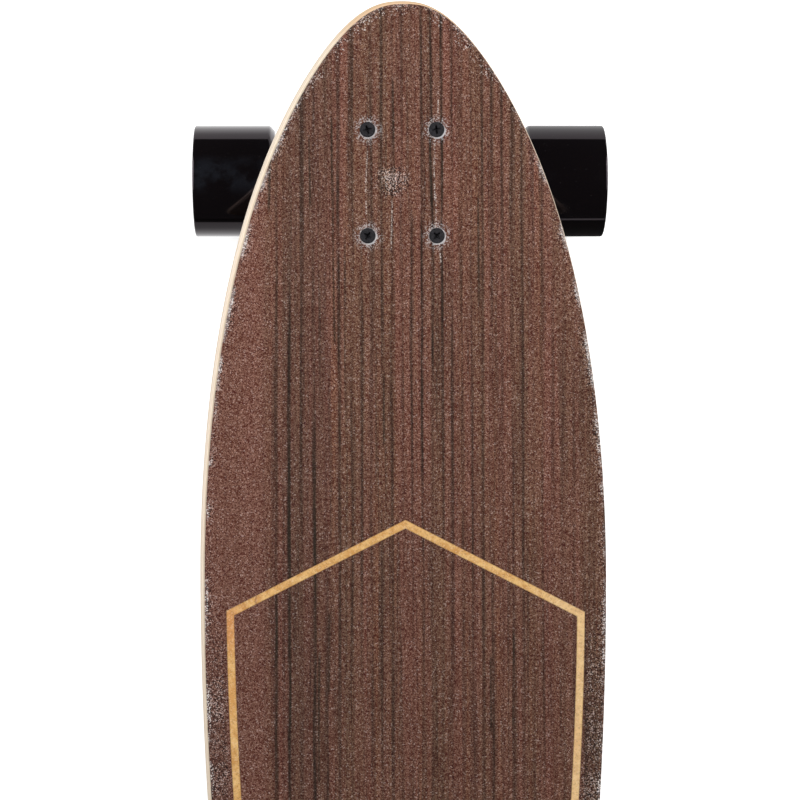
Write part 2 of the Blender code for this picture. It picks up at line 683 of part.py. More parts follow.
def build_axle(end, steer, steel):
    """The axle with its speed rings and bearing spacers, turned as one solid."""
    spacer = 0.0055
    ring = 0.0062
    inner_face = HANGER_HALF_WIDTH + GAP
    bearing_in = WHEEL_CENTRE_X - BEARING_OFFSET - BEARING_WIDTH / 2
    bearing_out = WHEEL_CENTRE_X + BEARING_OFFSET + BEARING_WIDTH / 2
    half_spacer = BEARING_OFFSET - BEARING_WIDTH / 2 - GAP
    right = [
        (inner_face, AXLE_RADIUS), (inner_face, ring),
        (bearing_in - GAP, ring), (bearing_in - GAP, AXLE_RADIUS),
        (WHEEL_CENTRE_X - half_spacer, AXLE_RADIUS), (WHEEL_CENTRE_X - half_spacer, spacer),
        (WHEEL_CENTRE_X + half_spacer, spacer), (WHEEL_CENTRE_X + half_spacer, AXLE_RADIUS),
        (bearing_out + GAP, AXLE_RADIUS), (bearing_out + GAP, ring),
        (bearing_out + 0.0010, ring), (bearing_out + 0.0010, AXLE_RADIUS),
        (AXLE_HALF_LENGTH, AXLE_RADIUS), (AXLE_HALF_LENGTH, 0),
    ]
    left = [(-x, radius) for x, radius in reversed(right)]
    mesh = mesh_from("axle", turned(left + right, 10, closed=False))
    piece(f"{end}_axle", mesh, steel, AXLE_CENTRE - PIVOT, AXLE_TURN, steer)


def tyre_profile():
    """Turned section of the tyre: flat tread, small outer lip radius, wider chamfer on the inside."""
    flat = WHEEL_RADIUS / cos(pi / TYRE_SIDES)
    half = WHEEL_HALF_WIDTH
    bore = CORE_RADIUS + GAP
    return [
        (half, flat - 0.0022), (half - 0.0007, flat - 0.0007), (half - 0.0022, flat),
        (-half + 0.0032, flat), (-half, flat - 0.0038), (-half + 0.0010, 0.0260),
        (-half + 0.0060, 0.0200), (-0.0150, bore), (0.0150, bore), (half - 0.0060, 0.0205),
        (half - 0.0012, 0.0270),
    ]


def core_profile():
    """Turned section of the wheel core: bearing seats at both ends and a rib between them."""
    seat = BEARING_RADIUS + GAP
    rib = BEARING_OFFSET - BEARING_WIDTH / 2 - GAP
    mouth = BEARING_OFFSET + BEARING_WIDTH / 2 + 0.0010
    return [
        (0.0148, CORE_RADIUS), (-0.0148, CORE_RADIUS), (-0.0148, 0.0128), (-mouth, seat),
        (-rib, seat), (-rib, 0.0088), (rib, 0.0088), (rib, seat), (mouth, seat), (0.0148, 0.0128),
    ]


def bearing_profile():
    """Turned section of a shielded bearing: two rings with the shield set back between them."""
    half = BEARING_WIDTH / 2
    shield = half - 0.0005
    return [
        (half, AXLE_RADIUS + GAP), (half, 0.0060), (shield, 0.0062), (shield, 0.0094),
        (half, 0.0096), (half, BEARING_RADIUS), (-half, BEARING_RADIUS), (-half, AXLE_RADIUS + GAP),
    ]


def build_wheel(name, outward, steer, meshes, finishes):
    """One wheel on its spin axis: tyre, core and two bearings, held by the axle nut.

    outward is the side of the truck's own frame that the wheel is on: 1 at +X and -1 at -X.
    """
    place = AXLE_CENTRE - PIVOT
    spin = empty(f"{name}_spin", place + Vector((outward * WHEEL_CENTRE_X, 0, 0)), parent=steer)
    turn = (0, outward * pi / 2, 0)
    piece(f"{name}_tyre", meshes["tyre"], finishes["tyre"], (0, 0, 0), turn, spin)
    piece(f"{name}_wheel_core", meshes["core"], finishes["core"], (0, 0, 0), turn, spin)
    for row, offset in (("outer", BEARING_OFFSET), ("inner", -BEARING_OFFSET)):
        location = (outward * offset, 0, 0)
        facing = turn if row == "outer" else (0, -outward * pi / 2, 0)
        piece(f"{name}_{row}_bearing", meshes["bearing"], finishes["steel"], location, facing, spin)
    nut_x = WHEEL_CENTRE_X + BEARING_OFFSET + BEARING_WIDTH / 2 + 0.0010 + GAP
    nut_place = place + Vector((outward * nut_x, 0, 0))
    piece(f"{name}_axle_nut", meshes["nut"], finishes["zinc"], nut_place, turn, steer)


def build_trucks():
    """Both trucks with their wheels; the rear one is the front one turned half round."""
    cast = finish("cast_black", (0.03, 0.03, 0.032), 0.45, 0.6)
    rubber = finish("riser_rubber", (0.02, 0.02, 0.02), 0.85)
    urethane = finish("bushing_urethane", (0.55, 0.50, 0.42), 0.45)
    finishes = {
        "steel": finish("bearing_steel", (0.60, 0.60, 0.60), 0.25, 1.0),
        "zinc": finish("zinc_plate", (0.62, 0.62, 0.60), 0.35, 1.0),
        "tyre": finish("wheel_urethane", (0.008, 0.008, 0.009), 0.12),
        "core": finish("wheel_core", (0.03, 0.03, 0.03), 0.4),
    }
    meshes = {
        "tyre": mesh_from("tyre", turned(tyre_profile(), TYRE_SIDES)),
        "core": mesh_from("wheel_core", turned(core_profile(), 16)),
        "bearing": mesh_from("bearing", turned(bearing_profile(), 12)),
        "nut": mesh_from("axle_nut", lock_nut(0.0065, 0.0066, AXLE_RADIUS + GAP, 0.0018)),
    }
    for end, middle_y, turn, right in (("front", FRONT_PATTERN_Y, 0, 1), ("rear", REAR_PATTERN_Y, pi, -1)):
        truck = empty(f"{end}_truck", (0, middle_y, 0), (0, 0, turn))
        steer = empty(f"{end}_steer", PIVOT, parent=truck)
        build_riser(end, truck, rubber)
        build_baseplate(end, truck, cast)
        build_kingpin_stack(end, truck, finishes["steel"], finishes["zinc"], urethane)
        build_hanger(end, steer, cast)
        build_axle(end, steer, finishes["steel"])
        build_wheel(f"{end}_left", -right, steer, meshes, finishes)
        build_wheel(f"{end}_right", right, steer, meshes, finishes)


clear_scene()
build_deck()
build_deck_fasteners()
build_trucks()
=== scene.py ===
from functools import partialmethod
import json
from math import cos, pi, radians, sin

import bmesh
import bpy
import numpy as np
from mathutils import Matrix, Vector


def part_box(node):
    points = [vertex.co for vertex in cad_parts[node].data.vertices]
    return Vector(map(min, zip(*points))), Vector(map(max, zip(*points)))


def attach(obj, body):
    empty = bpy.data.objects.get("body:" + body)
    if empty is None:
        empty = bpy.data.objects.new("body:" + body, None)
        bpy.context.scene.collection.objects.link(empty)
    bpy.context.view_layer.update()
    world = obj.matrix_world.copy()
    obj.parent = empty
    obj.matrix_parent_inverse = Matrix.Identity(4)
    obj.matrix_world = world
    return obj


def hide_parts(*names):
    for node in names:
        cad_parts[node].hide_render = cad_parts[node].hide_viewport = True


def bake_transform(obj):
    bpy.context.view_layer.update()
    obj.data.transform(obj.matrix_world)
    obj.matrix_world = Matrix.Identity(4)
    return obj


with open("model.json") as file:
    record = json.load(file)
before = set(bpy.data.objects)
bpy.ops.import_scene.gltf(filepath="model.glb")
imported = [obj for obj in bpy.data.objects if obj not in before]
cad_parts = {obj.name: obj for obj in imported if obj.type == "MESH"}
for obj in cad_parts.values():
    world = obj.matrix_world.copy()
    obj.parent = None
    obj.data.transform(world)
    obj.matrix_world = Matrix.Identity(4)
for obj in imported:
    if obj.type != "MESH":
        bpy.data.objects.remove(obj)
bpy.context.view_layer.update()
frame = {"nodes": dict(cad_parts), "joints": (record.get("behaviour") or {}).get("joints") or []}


# Deck
# Seven maple plies pressed with a shallow concave and cut to a pointed nose and a slim tail. The rim is
# sanded round through the plies, which show as bands, and the underside is clear lacquered.
TOP_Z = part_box("deck_bolt_front_left_nose")[1].z
(_, TAIL_Y, BOTTOM_Z), (_, NOSE_Y, _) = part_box("deck")
THICKNESS = TOP_Z - BOTTOM_Z
HALF_WIDTH = 0.1205
NOSE_RUN = 0.34
WIDEST_Y = NOSE_Y - NOSE_RUN
TAIL_RUN = WIDEST_Y - TAIL_Y
NOSE_POWER, NOSE_ROOT, NOSE_TAPER = 5.25, 0.416, 0.508
TAIL_POWER, TAIL_ROOT = 1.95, 0.62
CONCAVE_RISE, CONCAVE_FLAT = 0.006, 0.03
SPINE_SHARE = 0.965
SHEET_THICKNESS, SHEET_GAP, SHEET_SHIFT = 0.001, 0.00015, 0.0013
SHEET_MARGIN_SIDE, SHEET_MARGIN_TIP = 0.0015, 0.0024
TOP_EDGE_DROP, BOTTOM_EDGE_RADIUS = 0.0022, 0.003
FIRST_PLY, PLY = 0.00148, 0.00155
BOLT_RADIUS, BOLT_HEAD_RADIUS, BOLT_HEAD_DEPTH = 0.0024, 0.0046, 0.0026
GAP = 0.0003
RIM_POINTS, FLAT_ROWS, ARC_ROWS = 600, 30, 10
BOLTS = sorted(node for node in frame["nodes"] if node.startswith("deck_bolt_"))


def half_width(y):
    """Half the plan's width at y: a tapered superellipse from the widest line to the nose, and a plain one
    to the tail."""
    ahead = np.clip((y - WIDEST_Y) / NOSE_RUN, 0, 1)
    behind = np.clip((WIDEST_Y - y) / TAIL_RUN, 0, 1)
    nose = (1 - ahead ** NOSE_POWER) ** NOSE_ROOT * (1 - NOSE_TAPER * ahead ** 2)
    return HALF_WIDTH * nose * (1 - behind ** TAIL_POWER) ** TAIL_ROOT


def rise(x):
    """Lift of the concave at x: none over the flat middle, then the square of the way to the rim."""
    return CONCAVE_RISE * (np.clip(np.abs(x) - CONCAVE_FLAT, 0, None) / (HALF_WIDTH - CONCAVE_FLAT)) ** 2


def plan_outline():
    """Points round the deck from the nose tip clockwise, and outward normals from neighbours' differences."""
    turn = np.arange(RIM_POINTS) * 2 * pi / RIM_POINTS
    y = WIDEST_Y + np.where(np.cos(turn) > 0, NOSE_RUN, TAIL_RUN) * np.cos(turn)
    points = np.stack([np.sign(np.sin(turn)).round() * half_width(y), y], axis=1)
    along = np.roll(points, -1, axis=0) - np.roll(points, 1, axis=0)
    normals = np.stack([-along[:, 1], along[:, 0]], axis=1)
    return points, normals / np.linalg.norm(normals, axis=1, keepdims=True)


def plate_grid(outline, normals, spine, share, inset, height):
    """Grid of a plate: each row lies a share of the way from the spine to the outline, which is drawn in
    along its normals by the inset. The height is one for each row, or a function of x."""
    edge = outline[None] - normals[None] * np.broadcast_to(inset, (len(share), len(outline)))[..., None]
    plan = spine[None] + (edge - spine[None]) * share[:, None, None]
    level = height(plan[..., 0]) if callable(height) else np.broadcast_to(height, plan.shape[:2])
    return np.concatenate([plan, level[..., None]], axis=2)


def smooth(made, sharp):
    """Smooth shading, with the edges that turn by more than an angle left sharp."""
    made.data.shade_smooth()
    made.data.set_sharp_from_angle(angle=radians(sharp))
    return made


def solid(name, grids, finishes=None, maps=None, sharp=40):
    """A closed piece at the origin, from grids of points whose columns run in a ring: quads between
    neighbours, doubles merged, faces turned outwards. finishes gives each grid's material number, and maps
    its ring of (u, v)."""
    points, quads, material, uv, first = [], [], [], [], 0
    for number, grid in enumerate(grids):
        rows, columns = grid.shape[:2]
        index = first + np.arange(rows * columns).reshape(rows, columns)
        beside = np.roll(index, -1, axis=1)
        quads.append(np.stack([index[:-1], beside[:-1], beside[1:], index[1:]], axis=-1).reshape(-1, 4))
        points.append(grid.reshape(-1, 3))
        material.append(np.full(len(quads[-1]), finishes[number] if finishes else 0))
        if maps:
            ring = maps[number]
            corners = [ring[:-1, :-1], ring[:-1, 1:], ring[1:, 1:], ring[1:, :-1]]
            uv.append(np.stack(corners, axis=2).reshape(-1, 2))
        first += rows * columns
    mesh = bpy.data.meshes.new(name)
    mesh.from_pydata(np.concatenate(points).tolist(), [], np.concatenate(quads).tolist())
    mesh.polygons.foreach_set("material_index", np.concatenate(material).astype(np.int32))
    if maps:
        layer = mesh.uv_layers.new(name="surface")
        layer.uv.foreach_set("vector", np.concatenate(uv).astype(np.float32).ravel())
    shape = bmesh.new()
    shape.from_mesh(mesh)
    bmesh.ops.remove_doubles(shape, verts=shape.verts, dist=2e-6)
    bmesh.ops.recalc_face_normals(shape, faces=shape.faces)
    shape.to_mesh(mesh)
    shape.free()
    made = bpy.data.objects.new(name, mesh)
    bpy.context.scene.collection.objects.link(made)
    return smooth(made, sharp)


def settle(made):
    """Keeps the evaluated mesh and drops the modifiers that made it."""
    bpy.context.view_layer.update()
    evaluated = made.evaluated_get(bpy.context.evaluated_depsgraph_get())
    made.data = bpy.data.meshes.new_from_object(evaluated)
    made.modifiers.clear()


def cut(made, *tools, sharp=40):
    """Cuts closed tools out of a piece, and removes the tools."""
    for tool in tools:
        cutter = made.modifiers.new(tool.name, "BOOLEAN")
        cutter.object, cutter.solver, cutter.operation = tool, "EXACT", "DIFFERENCE"
    settle(made)
    for tool in tools:
        bpy.data.objects.remove(tool)
    return smooth(made, sharp)


def fit(made, materials, body, node, bend=()):
    """Gives a piece its materials and hides the CAD node it stands for. A piece with no bend is attached to
    the body it rides on; a piece with a bend, given as (that body, start, end), keeps its place baked into
    its mesh and rides on no body. The bend's body, start and end are not used."""
    for skin in materials:
        made.data.materials.append(skin)
    if bend:
        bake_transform(made)
    else:
        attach(made, body)
    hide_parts(node)


def middle(node, z=0.0):
    """The middle of a CAD node's box in plan, at a height."""
    low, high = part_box(node)
    return (low.x + high.x) / 2, (low.y + high.y) / 2, z


def turned(profile, segments, origin=(0, 0, 0), axis=(0, 0, 1), thread=None, half_flats=None):
    """Grid of a turned solid: (height, radius) rows carried round an axis. A thread is (low, high, pitch,
    depth): between the two heights the radius loses a triangle wave of height over pitch plus turn. With
    half flats, the radius is the smaller of the row's and the hexagon's reach at that turn."""
    axis = np.array(axis, float) / np.linalg.norm(axis)
    first = np.cross([0, 0, 1.0] if abs(axis[2]) < 0.9 else [1.0, 0, 0], axis)
    first /= np.linalg.norm(first)
    profile = np.array(profile, float)
    turn = np.arange(segments) * 2 * pi / segments
    height = np.broadcast_to(profile[:, :1], (len(profile), segments))
    radius = np.broadcast_to(profile[:, 1:], (len(profile), segments)).copy()
    if thread:
        low, high, pitch, depth = thread
        wave = np.abs((height / pitch + turn / (2 * pi)) % 1 - 0.5) * 2
        fade = np.clip((height - low) / pitch, 0, 1) * np.clip((high - height) / pitch, 0, 1)
        radius -= depth * wave * fade * (radius > 0)
    if half_flats:
        radius = np.minimum(radius, half_flats / np.cos((turn + pi / 6) % (pi / 3) - pi / 6))
    around = np.cos(turn)[:, None] * first + np.sin(turn)[:, None] * np.cross(axis, first)
    return np.array(origin) + height[..., None] * axis + radius[..., None] * around[None]


def rod(low, high, radius, segments, origin, axis=(0, 0, 1)):
    """Grid of a plain cylinder between two heights on an axis."""
    return turned([(low, 0), (low, radius), (high, radius), (high, 0)], segments, origin, axis)


def turned_map(profile, segments):
    """(u, v) for a turned grid: u is the share of a turn, v the length along the profile in metres."""
    steps = np.linalg.norm(np.diff(np.array(profile, float), axis=0), axis=1)
    along = np.concatenate([[0], np.cumsum(steps)])
    return np.stack(np.meshgrid(np.linspace(0, 1, segments + 1), along), axis=-1)


def rounded(corners, radius, steps=4, closed=False):
    """A polyline with each corner turned into a quadratic arc that starts and ends a radius from it."""
    corners = np.array(corners, float)
    radius = np.broadcast_to(np.array(radius, float), len(corners)).copy()
    if not closed:
        radius[[0, -1]] = 0
    sides = []
    for neighbour in (np.roll(corners, 1, axis=0), np.roll(corners, -1, axis=0)):
        side = neighbour - corners
        length = np.maximum(np.linalg.norm(side, axis=1), 1e-9)
        sides.append(corners + side * (np.minimum(radius, 0.48 * length) / length)[:, None])
    t = np.linspace(0, 1, steps + 1)[None, :, None]
    start, end = sides[0][:, None], sides[1][:, None]
    curve = ((1 - t) ** 2 * start + 2 * t * (1 - t) * corners[:, None] + t ** 2 * end).reshape(-1, 2)
    return np.concatenate([curve, curve[:1]]) if closed else curve


def add_node(tree, kind, inputs=(), output=0, **settings):
    """Adds a node, sets or links its inputs, given in order or by name, and gives back one output. A tuple
    of outputs, or None for all, gives a list."""
    node = tree.nodes.new(kind)
    for name, value in settings.items():
        setattr(node, name, value)
    for key, value in inputs.items() if isinstance(inputs, dict) else enumerate(inputs):
        if isinstance(value, Wire):
            tree.links.new(value.socket, node.inputs[key])
        else:
            node.inputs[key].default_value = value
    keys = range(len(node.outputs)) if output is None else output
    if isinstance(keys, (tuple, range)):
        return [Wire(tree, node.outputs[key]) for key in keys]
    return Wire(tree, node.outputs[keys])


class Wire:
    """An output of a node. Arithmetic on it adds the node that works it out, and so does each method here.
    Of two values, a | b is the larger."""

    def __init__(self, tree, socket):
        self.tree, self.socket = tree, socket

    def math(self, operation, *others):
        return add_node(self.tree, "ShaderNodeMath", (self, *others), operation=operation)

    __add__ = partialmethod(math, "ADD")
    __sub__ = partialmethod(math, "SUBTRACT")
    __mul__ = partialmethod(math, "MULTIPLY")
    __or__ = partialmethod(math, "MAXIMUM")
    __gt__ = partialmethod(math, "GREATER_THAN")
    __lt__ = partialmethod(math, "LESS_THAN")
    __abs__ = partialmethod(math, "ABSOLUTE")

    def __rsub__(self, other):
        return self * -1.0 + other

    def split(self):
        return add_node(self.tree, "ShaderNodeSeparateXYZ", (self,), None)

    def join(self, y, z=0.0):
        return add_node(self.tree, "ShaderNodeCombineXYZ", (self, y, z))

    def stretch(self, sizes):
        """This place with each axis multiplied by its own number."""
        return add_node(self.tree, "ShaderNodeVectorMath", (self, sizes), operation="MULTIPLY")

    def distance(self, point=(0.0, 0.0, 0.0)):
        return add_node(self.tree, "ShaderNodeVectorMath", (self, point), "Value", operation="DISTANCE")

    def noise(self, scale=1.0, detail=2.0, roughness=0.5):
        sockets = {"Vector": self, "Scale": scale, "Detail": detail, "Roughness": roughness}
        return add_node(self.tree, "ShaderNodeTexNoise", sockets)

    def streaks(self, across, along, detail=3.0, roughness=0.6):
        """Noise drawn out along Y, with its scales across the board and along it."""
        return self.stretch((across, along, 0.0)).noise(1.0, detail, roughness)

    def ease(self, low, high, start=0.0, end=1.0):
        """A smooth step from start to end as the value goes from low to high."""
        step = (self, low, high, start, end)
        return add_node(self.tree, "ShaderNodeMapRange", step, interpolation_type="SMOOTHSTEP")

    def window(self, low, high, fade):
        """1 from low to high, smoothly down to 0 a fade's width beyond both."""
        return self.ease(low - fade, low) * self.ease(high + fade, high)

    def between(self, start, end):
        """The mix of two colours that has this share of the second."""
        return add_node(self.tree, "ShaderNodeMix", {0: self, 6: start, 7: end}, 2, data_type="RGBA")

    def coat(self, share, colour, how="MIX"):
        """This colour under a share of another."""
        sockets = {0: share, 6: self, 7: colour}
        return add_node(self.tree, "ShaderNodeMix", sockets, 2, data_type="RGBA", blend_type=how)

    def bump(self, distance, strength):
        """The surface's normal with this height on it."""
        sockets = {"Height": self, "Distance": distance, "Strength": strength}
        return add_node(self.tree, "ShaderNodeBump", sockets)

    def group(self, tree, *values):
        """All outputs of a shared effect at this place, whose other inputs come in order."""
        return add_node(self.tree, "ShaderNodeGroup", (self, *values), None, node_tree=tree)


def tone(red, green, blue):
    """A colour from 0 to 255 screen values, as linear light."""
    return (*(((value / 255 + 0.055) / 1.055) ** 2.4 for value in (red, green, blue)), 1.0)


def material(name, **constants):
    """A Principled material with constants on its shader, and its place in object coordinates."""
    made = bpy.data.materials.new(name)
    made.use_nodes = True
    for socket, value in constants.items():
        made.node_tree.nodes["Principled BSDF"].inputs[socket.replace("_", " ")].default_value = value
    return made, add_node(made.node_tree, "ShaderNodeTexCoord", (), "Object")


def surface(place):
    """The first two coordinates of the piece's own map."""
    return add_node(place.tree, "ShaderNodeUVMap", uv_map="surface").split()[:2]


def finish(made, colour, roughness=None, normal=None, **others):
    """Links what varies over the surface to the material's shader, and gives back the material."""
    shader = made.node_tree.nodes["Principled BSDF"]
    named = {"Base_Color": colour, "Roughness": roughness, "Normal": normal, **others}
    for name, wire in named.items():
        if wire:
            made.node_tree.links.new(wire.socket, shader.inputs[name.replace("_", " ")])
    return made


def shared_effect(build, inputs):
    """A node group named after the function that builds it from the place and its other inputs. The
    function gives back the outputs by name."""
    tree = bpy.data.node_groups.new(build.__name__, "ShaderNodeTree")
    for name, value in {"Place": (0.0, 0.0, 0.0), **inputs}.items():
        kind = "NodeSocketVector" if isinstance(value, tuple) else "NodeSocketFloat"
        tree.interface.new_socket(name, in_out="INPUT", socket_type=kind).default_value = value
    given = add_node(tree, "NodeGroupInput", (), tuple(range(len(inputs) + 1)))
    results = build(*given)
    for name in results:
        tree.interface.new_socket(name, in_out="OUTPUT", socket_type="NodeSocketFloat")
    add_node(tree, "NodeGroupOutput", results, ())
    return tree


def wood_grain(place, figure_scale, pore_scale):
    """Wood grain along Y: broad figure, and fine pores drawn out some fifty times along the grain."""
    figure = place.stretch((1.0, 0.05, 1.0)).noise(figure_scale, 4.0, 0.6)
    return {"Figure": figure, "Pores": place.stretch((1.0, 0.02, 1.0)).noise(pore_scale, 3.0, 0.6)}


WOOD_GRAIN = shared_effect(wood_grain, {"Figure Scale": 40.0, "Pore Scale": 900.0})


def sheet_margin(normals):
    """How far inside the deck's outline the top sheet ends: wider at the tips and on the left's front half,
    and least beside the tips on the right."""
    tip = np.minimum(1, np.abs(normals[:, 1]) / 0.25)
    shift = SHEET_SHIFT * normals[:, 0] * (1 + 0.45 * tip * (normals[:, 0] > 0))
    rear_left = np.clip(-normals[:, 1] / 0.03, 0, 1) * np.maximum(0, -normals[:, 0])
    return SHEET_MARGIN_SIDE + (SHEET_MARGIN_TIP - SHEET_MARGIN_SIDE) * tip - shift - 0.0005 * rear_left


def deck_grid(share, inset, drop):
    """Grid of the deck's plan whose height is the concave surface less the drop."""
    outline, normals = plan_outline()
    spine = outline * (0, SPINE_SHARE)
    return plate_grid(outline, normals, spine, share, inset, lambda x: TOP_Z - drop[:, None] + rise(x))


def deck_piece():
    """The plywood deck: flat top, quarter arc through the plies, upright rim, quarter arc underneath."""
    core_top = SHEET_THICKNESS + SHEET_GAP
    outline, normals = plan_outline()
    arc = np.linspace(0, pi / 2, ARC_ROWS)
    inward, flat = np.linspace(0, 1, FLAT_ROWS), np.ones(FLAT_ROWS)
    share = np.concatenate([inward, np.ones(2 * ARC_ROWS), inward[::-1]])
    drop = np.concatenate([flat * core_top, core_top + TOP_EDGE_DROP * (1 - np.cos(arc)),
                           THICKNESS - BOTTOM_EDGE_RADIUS * (1 - np.sin(arc)), flat * THICKNESS])
    top_inset = np.concatenate([flat, 1 - np.sin(arc)])[:, None] * sheet_margin(normals)
    bottom_inset = np.concatenate([1 - np.cos(arc), flat])[:, None] * BOTTOM_EDGE_RADIUS
    inset = np.concatenate([top_inset, np.broadcast_to(bottom_inset, top_inset.shape)])
    steps = np.linalg.norm(np.roll(outline, -1, axis=0) - outline, axis=1)
    ring = np.stack(np.meshgrid(np.concatenate([[0], np.cumsum(steps)]), drop), axis=-1)
    return solid("plywood_deck", [deck_grid(share, inset, drop)], maps=[ring])


def countersunk_holes(name, head, room):
    """Tool for eight countersunk holes at the deck bolts, down through the deck."""
    bottom, cone_top, top = BOTTOM_Z - 0.005, TOP_Z - GAP, TOP_Z + 0.005
    profile = [(bottom, 0), (bottom, room), (cone_top - BOLT_HEAD_DEPTH, room), (cone_top, head), (top, head),
               (top, 0)]
    return solid(name, [turned(profile, 40, middle(node)) for node in BOLTS])


def maple_ply():
    """Lacquered maple: plies by depth below the top face, with glue lines, over grain along the board. Glossy
    rays see the underside nearly black, as painted shade in its reflections.
    """
    made, place = material("lacquered_maple_ply", Coat_Weight=0.25, Coat_Roughness=0.25)
    along, depth = surface(place)
    count = (depth - FIRST_PLY).math("DIVIDE", PLY)
    cross_ply = count.math("FLOOR").math("FLOORED_MODULO", 2.0).math("COMPARE", 1.0, 0.5)
    glue = 1.0 - count.math("PINGPONG", 0.5).ease(0.0, 0.06)
    fibres = (along * 90.0).join(depth * 1500.0).noise(1.0, 4.0, 0.65)
    tip = place.split()[1].ease(0.438, 0.462)
    rim = (tip.between(tone(234, 219, 199), tone(226, 196, 160))
           .coat(cross_ply, tip.between(tone(255, 238, 214), tone(236, 200, 162)))
           .coat(fibres.ease(0.3, 0.7, 0.0, 0.22), tone(216, 184, 148))
           .coat(glue * 0.55, tone(176, 132, 92)))
    figure, pores = place.group(WOOD_GRAIN, 22.0, 700.0)
    # Painted shade: the underside turns nearly black for glossy rays, so that the tyres mirror no brown from
    # it
    mirrored = add_node(place.tree, "ShaderNodeLightPath", (), "Is Glossy Ray")
    face = (figure.ease(0.35, 0.68).between(tone(238, 212, 172), tone(214, 178, 130))
            .coat(pores.ease(0.52, 0.72, 0.0, 0.35), tone(176, 134, 92))
            .coat(mirrored * 0.8, tone(24, 20, 18)))
    relief = pores + count.math("FRACT")
    return finish(made, rim.coat(depth > THICKNESS - 0.00005, face),
                  place.noise(60.0, 3.0).ease(0.3, 0.7, 0.36, 0.5), relief.bump(0.00004, 0.5))


deck = cut(deck_piece(), countersunk_holes("deck_holes", BOLT_HEAD_RADIUS + GAP, BOLT_RADIUS + GAP))
fit(deck, [maple_ply()], "board", "deck")


# Top sheet
# A dark striped veneer laid over the plies and sanded off with the rim, so that it ends a little inside the
# edge. Its clear coat holds crushed grit, which lies thicker at the rim and chips white at the bolts, with a
# painted highlight on the lit side of each countersink; the grit's light grains are partly painted glints.
SHEET_ROWS = 44
RIM_BEVEL = 0.0003
INLAY_LOW, INLAY_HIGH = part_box("inlay_stripe")
INLAY_WIDTH, INLAY_DEPTH, INLAY_MARGIN = 0.0046, 0.0005, 0.014
INLAY_SHOULDER_RUN, INLAY_LEFT_LEAD = 0.0548, 0.0018


def inlay_line():
    """The inlay's outer line: straight shoulders from each apex, and sides a margin inside the rim. Its
    left side lies a little further towards the nose."""
    side_y = np.linspace(INLAY_HIGH.y - INLAY_SHOULDER_RUN, INLAY_LOW.y + INLAY_SHOULDER_RUN, 60)
    right = np.stack([half_width(side_y) - INLAY_MARGIN, side_y], axis=1)
    run = np.linspace(0, 1, 24, endpoint=False)[:, None]
    nose, tail = np.array([[0, INLAY_HIGH.y]]), np.array([[0, INLAY_LOW.y]])
    half = np.concatenate([nose + (right[:1] - nose) * run, right,
                           (tail - right[-1:]) * run[1:] + right[-1:]])
    line = np.concatenate([half, tail, half[:0:-1] * (-1, 1)]) + (SHEET_SHIFT, 0)
    line[:, 1] += INLAY_LEFT_LEAD * np.clip(-line[:, 0] / HALF_WIDTH, 0, 1)
    return line


def beside(line, distance):
    """A clockwise closed line moved inwards by a distance, with mitred corners."""
    def across(step):
        step = step / np.linalg.norm(step, axis=1, keepdims=True)
        return np.stack([step[:, 1], -step[:, 0]], axis=1)
    before = across(line - np.roll(line, 1, axis=0))
    mitre = before + across(np.roll(line, -1, axis=0) - line)
    mitre /= np.linalg.norm(mitre, axis=1, keepdims=True)
    return line + mitre * (distance / np.sum(mitre * before, axis=1))[:, None]


def inlay_grid(section):
    """Grid of the inlay: each (distance inwards, drop) of its section carried round the line."""
    plans = [(beside(inlay_line(), distance), drop) for distance, drop in section]
    return np.array([np.column_stack([plan, TOP_Z - drop + rise(plan[:, 0])]) for plan, drop in plans])


def sheet_piece():
    """The veneer: a thin plate on the concave with a small rim bevel; v of its map is the way to the rim."""
    inward, flat = np.linspace(0, 1, SHEET_ROWS), np.ones(SHEET_ROWS)
    share = np.concatenate([inward, [1, 1, 1], inward[::-1]])
    drop = np.concatenate([flat * 0, [RIM_BEVEL / 3, RIM_BEVEL, SHEET_THICKNESS], flat * SHEET_THICKNESS])
    bevel = np.concatenate([flat * RIM_BEVEL, [RIM_BEVEL / 3, 0, 0], flat * 0])
    grid = deck_grid(share, sheet_margin(plan_outline()[1]) + bevel[:, None], drop)
    to_rim = np.linalg.norm(grid - grid[SHEET_ROWS - 1][None], axis=2)
    to_rim = np.concatenate([to_rim, to_rim[:, :1]], axis=1)
    turn = np.broadcast_to(np.linspace(0, 1, RIM_POINTS + 1), to_rim.shape)
    return solid("veneer_sheet", [grid], maps=[np.stack([turn, to_rim], axis=-1)])


def clear_grit(place, grains_per_metre):
    """Crushed grit in a clear coat: for each grain one random brightness, one random hue and its dome."""
    cells = {"Vector": place, "Scale": grains_per_metre}
    distance, random = add_node(place.tree, "ShaderNodeTexVoronoi", cells, ("Distance", "Color"))
    grain, hue = add_node(place.tree, "ShaderNodeSeparateColor", (random,), (0, 1))
    return {"Grain": grain, "Hue": hue, "Dome": distance.ease(0.55, 0.0)}


CLEAR_GRIT = shared_effect(clear_grit, {"Grains per Metre": 1300.0})


def marks(x, y, ends, half, fade):
    """Thin straight marks that fade at both ends, each given by the (x, y) of its nose end and then of its
    tail end in millimetres: 1 where the distance to the line through both is small."""
    found = 0.0
    for nose_x, nose_y, tail_x, tail_y in ends:
        slope = (tail_x - nose_x) / (tail_y - nose_y)
        off = y * -slope + (x - (nose_x - slope * nose_y) / 1000)
        found = abs(off).ease(half, half * 0.2) * y.window(tail_y / 1000, nose_y / 1000, fade) | found
    return found


